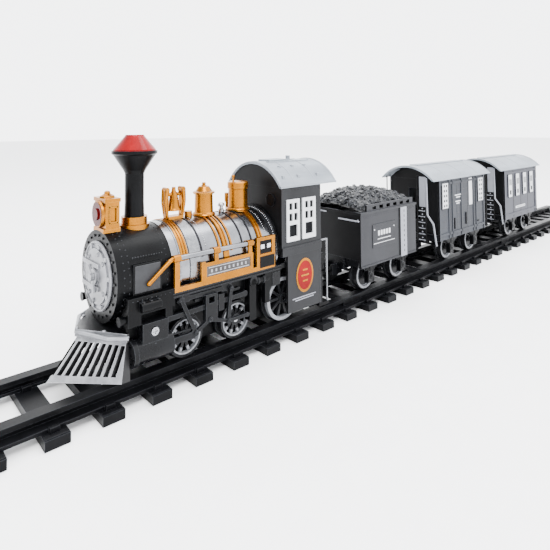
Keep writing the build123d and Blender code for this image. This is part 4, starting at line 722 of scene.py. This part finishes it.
def oval(shape, side, half_w, half_h, inner, outer, segments=48):
    """An oval disc on the cab side."""
    front, back = [], []
    for i in range(segments):
        angle = 2 * pi * i / segments
        u, w = half_w * cos(angle), half_h * sin(angle)
        front.append(shape.bm.verts.new(at(BADGE[0] + u, side * outer, BADGE[1] + w)))
        back.append(shape.bm.verts.new(at(BADGE[0] + u, side * inner, BADGE[1] + w)))
    shape.bm.faces.new(front)
    shape.bm.faces.new(list(reversed(back)))
    for i in range(segments):
        j = (i + 1) % segments
        shape.bm.faces.new((front[i], back[i], back[j], front[j]))


for side in SIDES:
    oval(badge_ring, side, 8.0, 11.2, 27.9, 28.25)
    oval(badge_face, side, 6.7, 9.6, 28.0, 28.4)
    for i in range(3):
        half = (2.2, 3.6, 2.2)[i]
        z = BADGE[1] + (3.6, 0.0, -3.6)[i]
        badge_mark.slab((BADGE[0] - half, BADGE[0] + half), (28.3, 28.5), (z - 0.5, z + 0.5), side)
badge_ring.make("cab_badge_rings", LOCO, "gold")
badge_face.make("cab_badge_faces", LOCO, "enamel")
badge_mark.make("cab_badge_marks", LOCO, "gold")

lines = Shape()
for side in SIDES:
    for z, a, b in ((14.6, 117.0, 139.0), (13.2, 119.5, 137.0)):
        lines.slab((a, b), (27.95, 28.15), (z - 0.28, z + 0.28), side)
lines.make("cab_lines", LOCO, "strip", slot="silver_plastic")

cab_rivets = Shape()
for side in SIDES:
    for i in range(13):
        cab_rivets.rivet(at(109.3 + 2.85 * i, side * 28.05, 86.4), 0.35 * MM)
        cab_rivets.rivet(at(109.3 + 2.85 * i, side * 28.85, 48.2), 0.35 * MM)
    for i in range(16):
        cab_rivets.rivet(at(143.6, side * 28.05, 8.5 + 2.3 * i), 0.32 * MM)
cab_rivets.make("cab_rivets", LOCO, "cab")

front_wall = Shape()
hoop(front_wall, 107.2, 1.4, 1.0, span=(-1.5, 1.5), base=BOILER_R + 0.8 * MM)
for side in SIDES:
    front_wall.lathe(
        at(107.6, side * 17.5, 80.0), ((4.4, 0), (4.4, 0.8), (3.6, 1.0)), axis="X", segments=28,
    )
front_wall.make("cab_front_trim", LOCO, "black")

# -------------------------------------------------------------- running gear
gear = Shape()
for side in SIDES:
    for z in (14.4, 17.0):
        gear.rod(at(26, side * 25.6, z), at(41, side * 25.6, z), 0.5 * MM)
    gear.rod(at(9, side * 27.8, 37.2), at(20, side * 27.8, 37.2), 2.5 * MM)
    for behind in (10.2, 14.5, 18.8):
        gear.rod(at(behind, side * 27.8, 37.2), at(behind + 1.0, side * 27.8, 37.2), 2.9 * MM)
    for behind, z in ((34.0, 34.6), (43.5, 14.0), (53.0, 18.9), (66.0, 14.5), (68.0, 33.0)):
        gear.rod(at(behind, side * 24.4, z), at(behind, side * 27.2, z), 1.5 * MM)
        gear.rod(at(behind, side * 27.0, z), at(behind, side * 27.7, z), 0.9 * MM)
    gear.slab((45.0, 77.0), (22.0, 23.0), (29.5, 31.0), side)
    gear.slab((59.5, 63.5), (22.0, 25.6), (21.5, 31.0), side)
    gear.rod(at(84.5, side * 26.0, 34.0), at(84.5, side * 27.6, 34.0), 2.9 * MM)
    for behind in (88.0, 92.5):
        gear.rod(at(behind, side * 25.5, 33.0), at(behind + 1.2, side * 25.5, 33.0), 2.6 * MM)
    for i in range(9):
        gear.rivet(at(5.5 + 2.6 * i, side * 27.5, 40.4), 0.35 * MM)
gear.make("valve_gear_details", LOCO, "gear", bevel=0.2)

under = Shape()
for side in SIDES:
    under.slab((28.5, 107.0), (27.1, 27.8), (36.8, 37.6), side)
    under.slab((28.5, 107.0), (27.1, 27.7), (38.6, 39.2), side)
    under.slab((100.0, 106.5), (26.8, 27.4), (27.6, 35.5), side)
under.make("running_board_trim", LOCO, "gear", bevel=0.1)

plow = Shape()
plow.pipe(
    [
        at(4.0, -26.0, 22.6), at(-4.0, -20.0, 22.6), at(-12.6, 0, 22.6), at(-4.0, 20.0, 22.6),
        at(4.0, 26.0, 22.6),
    ],
    1.1 * MM,
)
for y in (-14, 0, 14):
    plow.ball(at(-12.4 + abs(y) * 0.62, y, 24.6), 1.0 * MM, (1, 1, 0.6))
plow.make("cowcatcher_beam_trim", LOCO, "silver")

# Black rings laid round the screws as painted shade in their recesses.
recess_shade = Shape()
for side in SIDES:
    for i in range(24):
        turns = (2 * pi * i / 24, 2 * pi * (i + 1) / 24)
        ends = [at(17.3 + 2.9 * cos(turn), side * 27.5, 23.2 + 2.9 * sin(turn)) for turn in turns]
        recess_shade.rod(*ends, 0.5 * MM, segments=8)
recess_shade.make("screw_recess_rings", LOCO, "black")

buffer = Shape()
for side in SIDES:
    buffer.rod(at(-1.0, side * 25.0, 31.5), at(3.4, side * 25.0, 31.5), 2.6 * MM, 1.6 * MM)
buffer.make("front_stubs", LOCO, "black", bevel=0.15)

# ---------------------------------------------------------------------- roof
roof = Shape()
ROOF_LO, ROOF_HI = (Vector(v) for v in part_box("cab_roof"))
CROWN, EAVE, ROOF_HALF = CAB_ROOF


def arc_z(y, half, eave, crown):
    """Height of a segmental roof over a point y."""
    rise = crown - eave
    radius = (half * half + rise * rise) / (2 * rise)
    return crown - radius + (radius * radius - y * y) ** 0.5


def roof_seam(shape, x, width, half, eave, crown, lift, steps=36):
    """A raised seam following the roof's arc across the vehicle."""
    rows = []
    for i in range(steps + 1):
        y = -half + 2 * half * i / steps
        z = arc_z(y * 0.999, half, eave, crown)
        corners = ((-1, -0.3 * MM), (-1, lift), (1, lift), (1, -0.3 * MM))
        rows.append([(x + end * width / 2, y, z + up) for end, up in corners])
    shape.sweep(rows)


for x in (ROOF_HI.x - 1.0 * MM, ROOF_LO.x + 1.0 * MM):
    roof_seam(roof, x, 1.8 * MM, ROOF_HALF, EAVE, CROWN, 0.35 * MM)
for x in (FRONT - 121 * MM, FRONT - 141 * MM):
    roof_seam(roof, x, 0.8 * MM, ROOF_HALF, EAVE, CROWN, 0.3 * MM)
for side in SIDES:
    roof.box(
        (ROOF_LO.x, ROOF_HI.x), (side * 27.4 * MM, side * ROOF_HALF), (EAVE - 0.1 * MM, EAVE + 1.3 * MM),
    )
    for behind in (113.0, 127.0, 146.0):
        up = (arc_z(0.0240, 0.0287, EAVE, CROWN) - RAIL) / MM
        roof.slab((behind - 1.0, behind + 1.0), (23.0, 24.8), (up - 1.2, up + 1.5), side)
roof.make("cab_roof_details", LOCO, "roof", bevel=0.15)

# -------------------------------------------------------------------- tender
T_LO, T_HI = (Vector(v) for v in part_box("tender_body"))
T_HALF = 29.5
random.seed(SEED)


def heap_height(u, v):
    """Coal heap profile over the bunker, 0 to 1 both ways."""
    along = max(0.0, sin(pi * min(max(u * 0.94 + 0.03, 0.02), 0.98))) ** 0.55
    return 0.0040 + 0.0125 * along * (1 - 0.75 * abs(2 * v - 1) ** 2.6)


def lump(bm, centre, size):
    """One faceted coal lump."""
    turn = Matrix.Rotation(
        random.uniform(0, 2 * pi), 4,
        Vector((random.uniform(-1, 1), random.uniform(-1, 1), random.uniform(0.2, 1))).normalized(),
    )
    scale = Matrix.Diagonal(
        (random.uniform(0.8, 1.25), random.uniform(0.7, 1.1), random.uniform(0.6, 1.0), 1.0)
    )
    made = bmesh.ops.create_icosphere(
        bm, subdivisions=1, radius=size, matrix=Matrix.Translation(centre) @ turn @ scale,
    )
    for vertex in made["verts"]:
        vertex.co += Vector([random.uniform(-0.22, 0.22) * size for _ in range(3)])


C_LO, C_HI = (Vector(v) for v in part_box("coal_load"))
coal = bmesh.new()
COLUMNS, ROWS = 20, 15
LUMP_COLUMNS, LUMP_ROWS = 32, 23
BED = C_LO.z + 0.004
MARGIN = 0.0034
grid = []
for i in range(COLUMNS + 1):
    row = []
    for j in range(ROWS + 1):
        u, v = i / COLUMNS, j / ROWS
        z = BED + heap_height(u, v) + random.uniform(-0.0007, 0.0007)
        row.append(coal.verts.new((C_LO.x + (C_HI.x - C_LO.x) * u, C_LO.y + (C_HI.y - C_LO.y) * v, z)))
    grid.append(row)
for i in range(COLUMNS):
    for j in range(ROWS):
        coal.faces.new((grid[i][j], grid[i + 1][j], grid[i + 1][j + 1], grid[i][j + 1]))
for i in range(1, LUMP_COLUMNS):
    for j in range(1, LUMP_ROWS):
        u = (i + random.uniform(-0.45, 0.45)) / LUMP_COLUMNS
        v = (j + random.uniform(-0.45, 0.45)) / LUMP_ROWS
        size = random.choice((0.0017, 0.0022, 0.0027, 0.0033))
        z = BED + heap_height(u, v) + random.uniform(-0.0004, 0.0004)
        x = min(max(C_LO.x + (C_HI.x - C_LO.x) * u, C_LO.x + MARGIN), C_HI.x - MARGIN)
        y = min(max(C_LO.y + (C_HI.y - C_LO.y) * v, C_LO.y + MARGIN), C_HI.y - MARGIN)
        lump(coal, Vector((x, y, min(z, C_HI.z - 0.003))), size)
heap_mesh = bpy.data.meshes.new("coal_heap")
coal.to_mesh(heap_mesh)
coal.free()
heap_mesh.materials.append(M["coal"])
heap = bpy.data.objects.new("coal_heap", heap_mesh)
bpy.context.scene.collection.objects.link(heap)
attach(heap, "tender")
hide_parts("coal_load")

TX = (T_LO.x + T_HI.x) / 2


def car_at(centre, x, y, above):
    """A point in mm from a vehicle's middle, to the left, above the rail."""
    return (centre + x * MM, y * MM, RAIL + above * MM)


def car_box(shape, centre, x, y, above, side=1):
    """A box in mm from a vehicle's middle, out to one side, above the rail."""
    low, high = car_at(centre, x[0], side * y[0], above[0]), car_at(centre, x[1], side * y[1], above[1])
    return shape.box(*zip(low, high))


tender_trim, tender_lines, tender_white, tender_dark = Shape(), Shape(), Shape(), Shape()
for side in SIDES:
    car_box(tender_white, TX, (-23.4, -14.6), (30.0, 30.3), (20.6, 61.0), side)
    for i in range(9):
        car_box(tender_trim, TX, (-20.0, -19.0), (30.25, 30.36), (24.0 + 4.1 * i, 26.0 + 4.1 * i), side)
    car_box(tender_dark, TX, (-13.9, -12.7), (29.4, 29.8), (20.8, 60.8), side)
    for i in range(5):
        x = 0.4 + 3.6 * i
        car_box(tender_lines, TX, (x, x + 2.2), (29.9, 30.15), (42.6, 46.4), side)
    car_box(tender_lines, TX, (0.0, 17.6), (29.9, 30.1), (39.6, 40.2), side)
    car_box(tender_lines, TX, (-5.6, 22.6), (29.9, 30.1), (36.6, 37.0), side)
    for x in (-4.6, 21.8):
        tender_lines.ball(car_at(TX, x, side * 30.0, 47.6), 0.6 * MM)
    for i in range(26):
        for z in (58.6, 22.4):
            tender_trim.rivet(car_at(TX, -36.4 + 2.9 * i, side * T_HALF, z), 0.34 * MM)
    for i in range(13):
        tender_trim.rivet(car_at(TX, 36.9, side * T_HALF, 23 + 2.9 * i), 0.34 * MM)
    car_box(tender_trim, TX, (-38.0, 38.0), (29.4, 30.0), (20.6, 21.6), side)
tender_trim.make("tender_rivets", "tender", "grey")
tender_lines.make("tender_marks", "tender", "white")
tender_white.make("tender_strips", "tender", "strip", bevel=0.1)
tender_dark.make("tender_grooves", "tender", "black")

grab = Shape()
for side in SIDES:
    grab.rod(
        car_at(T_HI.x, -1.5, side * 27, 57), car_at(T_HI.x, -0.2, side * 27, 57), 0.5 * MM, segments=14,
    )
for y in (-16.0, 16.0):
    car_box(grab, TX, (36.8, 38.8), (y - 9, y + 9), (61.8, 62.6))
for y, z in ((19.0, 56.4), (-14.0, 60.2)):
    grab.rod(car_at(T_HI.x, 0.9, y - 10, z), car_at(T_HI.x, 0.9, y + 10, z), 0.6 * MM)
grab.make("tender_grab_rails", "tender", "strip")


def running_gear(name, body, centre, axles):
    """Leaf springs, axle-box covers and brake blocks of a vehicle."""
    s = Shape()
    for side in SIDES:
        for dx in (-axles, axles):
            for i in range(5):
                half = 10.4 - 1.9 * i
                z = 20.0 - 1.05 * i
                car_box(s, centre, (dx - half, dx + half), (22.6, 26.5), (z - 0.42, z + 0.38), side)
            car_box(s, centre, (dx - 1.4, dx + 1.4), (22.4, 26.9), (15.6, 21.0), side)
            for start, end, radius, tip in ((26.0, 27.1, 2.6, 2.1), (27.0, 27.5, 1.1, 1.1)):
                ends = [car_at(centre, dx, side * y, 11.5) for y in (start, end)]
                s.rod(*ends, radius * MM, tip * MM)
            for ex in (-3.2, 3.2):
                car_box(s, centre, (dx + ex - 0.5, dx + ex + 0.5), (22.8, 26.7), (7.0, 18.0), side)
    return s.make(name, body, "black", bevel=0.12)


running_gear("tender_running_gear", "tender", TX, 22.2)

# ---------------------------------------------------------------------- cars
def roof_details(name, body, node, centre):
    """End beads, eave beads and seams of a car roof."""
    lo, hi = (Vector(v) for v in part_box(node))
    crown, eave, half = CAR_ROOF
    s = Shape()
    for x in (lo.x + 1.0 * MM, hi.x - 1.0 * MM):
        roof_seam(s, x, 1.9 * MM, half, eave, crown, 0.45 * MM)
    for dx in (-32, 0, 32):
        roof_seam(s, centre + dx * MM, 0.7 * MM, half, eave, crown, 0.22 * MM)
    for side in SIDES:
        s.box((lo.x, hi.x), (side * 27.2 * MM, side * half), (eave - 0.1 * MM, eave + 1.1 * MM))
    return s.make(name, body, "roof", bevel=0.12)


PLATFORM = 57.0


def end_bar(shape, centre, end, start, stop, radius):
    """A bar across a platform's end between two (out, above) points."""
    ends = [car_at(centre, PLATFORM * end, end * out, above) for out, above in (start, stop)]
    shape.rod(*ends, radius * MM)


def end_details(name, body, centre):
    """Pale panel, ladder and bent grab pipe at the step end of each platform."""
    pale, dark = Shape(), Shape()
    for end in SIDES:
        far, near = PLATFORM * end, 52.0 * end
        car_box(pale, centre, (far - 0.4, far + 0.4), (12.2, 18.6), (53, 81.0), end)
        for i in range(6):
            z = 22.0 + 5.4 * i
            end_bar(pale, centre, end, (11.0, z), (18.6, z), 0.40)
            pale.rivet(car_at(centre, far, end * 14.8, z + 2.2), 0.7 * MM)
        for start, stop, radius in (
            ((18.6, 20), (18.6, 53), 0.6), ((10.0, 20), (10.0, 82), 0.6), ((-10.0, 20), (-10.0, 52), 0.5),
            ((-17.0, 20), (-17.0, 52), 0.5), ((10.0, 52), (-24.0, 52), 0.6), ((-24.0, 20), (-24.0, 79), 0.6),
        ):
            end_bar(dark, centre, end, start, stop, radius)
        path = [(far, 19.4, 80), (far, 20.0, 46), (far, 26.0, 38), (near, 26.0, 17.5)]
        pale.pipe([car_at(centre, x, end * y, z) for x, y, z in path], 0.85 * MM)
        car_box(dark, centre, (near - 2.4, near + 2.4), (24.4, 26.0), (16.5, 18.2), end)
    pale.make(name + "_pale", body, "strip")
    dark.make(name + "_dark", body, "black")


def window_set(shape, holes, centre, x, low, high, half_w, rows, side, y):
    """A pale framed window with pairs of small dark lights."""
    car_box(shape, centre, (x - half_w, x + half_w), (y, y + 0.35), (low, high), side)
    step = (high - low) / rows
    for i in range(rows):
        z = low + step * (i + 0.5)
        for dx in (-half_w * 0.42, half_w * 0.42):
            across = (x + dx - half_w * 0.22, x + dx + half_w * 0.22)
            car_box(holes, centre, across, (y + 0.3, y + 0.45), (z - step * 0.24, z + step * 0.24), side)


B_LO, B_HI = (Vector(v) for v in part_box("boxcar_body"))
BX = (B_LO.x + B_HI.x) / 2
Y_WALL = 26.5
battens, grooves, whites, darks = Shape(), Shape(), Shape(), Shape()
for side in SIDES:
    for x in (-28.5, -22.5, 21.5, 28.5, 3.5):
        car_box(battens, BX, (x - 0.9, x + 0.9), (Y_WALL, 27.2), (21, 77), side)
    for x in (-25.5, -10.0, 12.5, 25.0):
        car_box(grooves, BX, (x - 0.35, x + 0.35), (Y_WALL, 26.62), (22, 76), side)
    for i in range(9):
        z = 26.5 + 5.6 * i
        car_box(grooves, BX, (-45.5, 45.5), (Y_WALL, 26.6), (z - 0.2, z + 0.2), side)
    for x in (-37.0, 37.0):
        car_box(battens, BX, (x - 6.2, x + 6.2), (Y_WALL, 27.5), (49.5, 75.0), side)
        window_set(whites, darks, BX, x, 50.5, 74.0, 5.0, 5, side, 27.5)
    car_box(whites, BX, (-19.2, -12.6), (26.6, 27.1), (48.5, 75.5), side)
    for x, z, w in ((10.5, 60.8, 12.0), (10.0, 58.6, 8.0), (10.5, 54.6, 10.0), (10.8, 52.6, 6.0)):
        car_box(whites, BX, (x - w / 2, x + w / 2), (26.55, 26.8), (z - 0.5, z + 0.5), side)
    for x, z0, z1 in ((-5.5, 30.0, 42.0), (18.0, 28.5, 39.0)):
        car_box(darks, BX, (x - 0.8, x + 0.8), (26.6, 27.4), (z0, z1), side)
    car_box(darks, BX, (-33.0, -29.5), (26.6, 27.6), (29.6, 31.0), side)
battens.make("boxcar_battens", "boxcar", "wagon", bevel=0.15)
grooves.make("boxcar_grooves", "boxcar", "gear", slot="chassis_plastic")
whites.make("boxcar_pale_panels", "boxcar", "white")
darks.make("boxcar_dark_fittings", "boxcar", "pane")
roof_details("boxcar_roof_details", "boxcar", "boxcar_roof", BX)
end_details("boxcar_ends", "boxcar", BX)
running_gear("boxcar_running_gear", "boxcar", BX, 24.4)

K_LO, K_HI = (Vector(v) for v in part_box("coach_body"))
KX = (K_LO.x + K_HI.x) / 2
battens, grooves, whites, darks = Shape(), Shape(), Shape(), Shape()
for side in SIDES:
    for x in (22.4, 20.4, -21.4, 0.0):
        car_box(grooves, KX, (x - 0.35, x + 0.35), (Y_WALL, 26.65), (22, 76), side)
    for x in (32.0, 10.7, -10.7, -32.0):
        car_box(whites, KX, (x - 4.6, x + 4.6), (27.3, 27.6), (46.0, 71.6), side)
        car_box(battens, KX, (x - 5.3, x + 5.3), (Y_WALL, 27.4), (45.2, 72.4), side)
        car_box(darks, KX, (x - 1.9, x + 1.9), (27.5, 27.75), (48.8, 53.6), side)
        for dx in (-1.7, 1.7):
            car_box(darks, KX, (x + dx - 0.8, x + dx + 0.8), (27.5, 27.75), (59.5, 66.5), side)
    car_box(whites, KX, (-12.0, 16.0), (26.6, 26.9), (31.0, 33.6), side)
    for i in range(7):
        car_box(grooves, KX, (-10.0 + 3.6 * i, -8.6 + 3.6 * i), (26.8, 27.0), (31.6, 33.0), side)
battens.make("coach_frames", "coach", "lilac", bevel=0.15)
grooves.make("coach_grooves", "coach", "gear", slot="chassis_plastic")
whites.make("coach_pale_panels", "coach", "white")
darks.make("coach_panes", "coach", "pane")
roof_details("coach_roof_details", "coach", "coach_roof", KX)
end_details("coach_ends", "coach", KX)
loop = Shape()
for end in SIDES:
    path = [(48.0, 62), (57.0, 60), (57.0, 34), (48.0, 32)]
    loop.pipe([car_at(KX, end * x, -end * 24.0, z) for x, z in path], 0.7 * MM)
loop.make("coach_end_rails", "coach", "strip")
running_gear("coach_running_gear", "coach", KX, 24.4)

# --------------------------------------------------------------------- track
PITCH = 25.4
for index, node in enumerate(("track_front", "track_middle", "track_rear")):
    lo, hi = (Vector(v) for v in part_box(node))
    middle = (lo.x + hi.x) / 2
    clips = Shape()
    for i in range(11):
        x = middle + (i - 5) * PITCH * MM
        for side in SIDES:
            for low, high in ((14.6, 16.6), (27.6, 29.8)):
                clips.box(
                    (x - 2.2 * MM, x + 2.2 * MM), (side * low * MM, side * high * MM), (4.3 * MM, 6.9 * MM),
                )
            clips.box(
                (x - 5.2 * MM, x + 5.2 * MM), (side * 30.4 * MM, side * 33.4 * MM), (4.4 * MM, 4.9 * MM),
            )
    for side in SIDES:
        y0 = side * 27.4 * MM
        clips.box(
            (middle - 139.6 * MM, middle + 139.6 * MM), (y0, y0 + side * 0.5 * MM), (4.5 * MM, 6.2 * MM),
        )
    clips.make(node + "_clips", "track", "track", bevel=0.15)

# -------------------------------------------------- stage, lights and camera
floor_mesh = bpy.data.meshes.new("floor")
FLOOR = 6.0
floor_mesh.from_pydata(
    [(-FLOOR, -FLOOR, 0), (FLOOR, -FLOOR, 0), (FLOOR, FLOOR, 0), (-FLOOR, FLOOR, 0)], [], [(0, 1, 2, 3)],
)
floor = bpy.data.objects.new("floor", floor_mesh)
bpy.context.scene.collection.objects.link(floor)
floor.location.z = -0.0002
floor_mesh.materials.append(
    surface("pale_floor", (0.93, 0.93, 0.935), 0.8, vary=0.01, grain=40.0, bump=0.02)
)

world = bpy.data.worlds.new("studio")
bpy.context.scene.world = world
world.use_nodes = True
sky = world.node_tree.nodes["Background"]
sky.inputs[0].default_value = (0.97, 0.98, 1.0, 1)
heading = world.node_tree.nodes.new("ShaderNodeTexCoord")
parts = world.node_tree.nodes.new("ShaderNodeSeparateXYZ")
fall = world.node_tree.nodes.new("ShaderNodeMapRange")
for index, number in enumerate((-0.1, 0.75, 5.5, 0.9)):
    fall.inputs[index + 1].default_value = number
world.node_tree.links.new(heading.outputs["Generated"], parts.inputs[0])
world.node_tree.links.new(parts.outputs[0], fall.inputs[0])
world.node_tree.links.new(fall.outputs[0], sky.inputs[1])


def area_light(name, place, target, size, power):
    """A soft rectangular lamp aimed at a point."""
    data = bpy.data.lights.new(name, "AREA")
    data.shape = "RECTANGLE"
    data.size, data.size_y = size
    data.energy = power
    made = bpy.data.objects.new(name, data)
    bpy.context.scene.collection.objects.link(made)
    made.location = place
    made.rotation_euler = (Vector(target) - Vector(place)).to_track_quat("-Z", "Y").to_euler()


area_light("key", (0.5, 0.7, 1.1), (0.15, 0, 0.05), (0.7, 0.5), 22.0)
area_light("top", (0.0, -0.1, 1.4), (0.05, 0, 0.05), (1.4, 0.6), 22.0)
area_light("front", (1.2, 0.25, 0.5), (0.3, 0, 0.07), (0.5, 0.5), 6.0)

CAMERA_PLACE = (0.4270, 0.2555, 0.1389)
CAMERA_YAW, CAMERA_PITCH, CAMERA_ROLL = -0.735, 0.04, -0.006
camera_data = bpy.data.cameras.new("camera")
camera_data.sensor_width = 36.0
camera_data.lens = 30.95
camera_data.shift_y = -0.3016
camera_data.clip_start = 0.01
camera = bpy.data.objects.new("camera", camera_data)
bpy.context.scene.collection.objects.link(camera)
bpy.context.scene.camera = camera
forward = Vector(
    (sin(CAMERA_YAW) * cos(CAMERA_PITCH), -cos(CAMERA_YAW) * cos(CAMERA_PITCH), sin(CAMERA_PITCH))
)
right = forward.cross(Vector((0, 0, 1))).normalized()
up = right.cross(forward)
tilt_cos, tilt_sin = cos(CAMERA_ROLL), sin(CAMERA_ROLL)
right, up = right * tilt_cos + up * tilt_sin, up * tilt_cos - right * tilt_sin
turn = Matrix((right, up, -forward)).transposed().to_4x4()
camera.matrix_world = Matrix.Translation(CAMERA_PLACE) @ turn
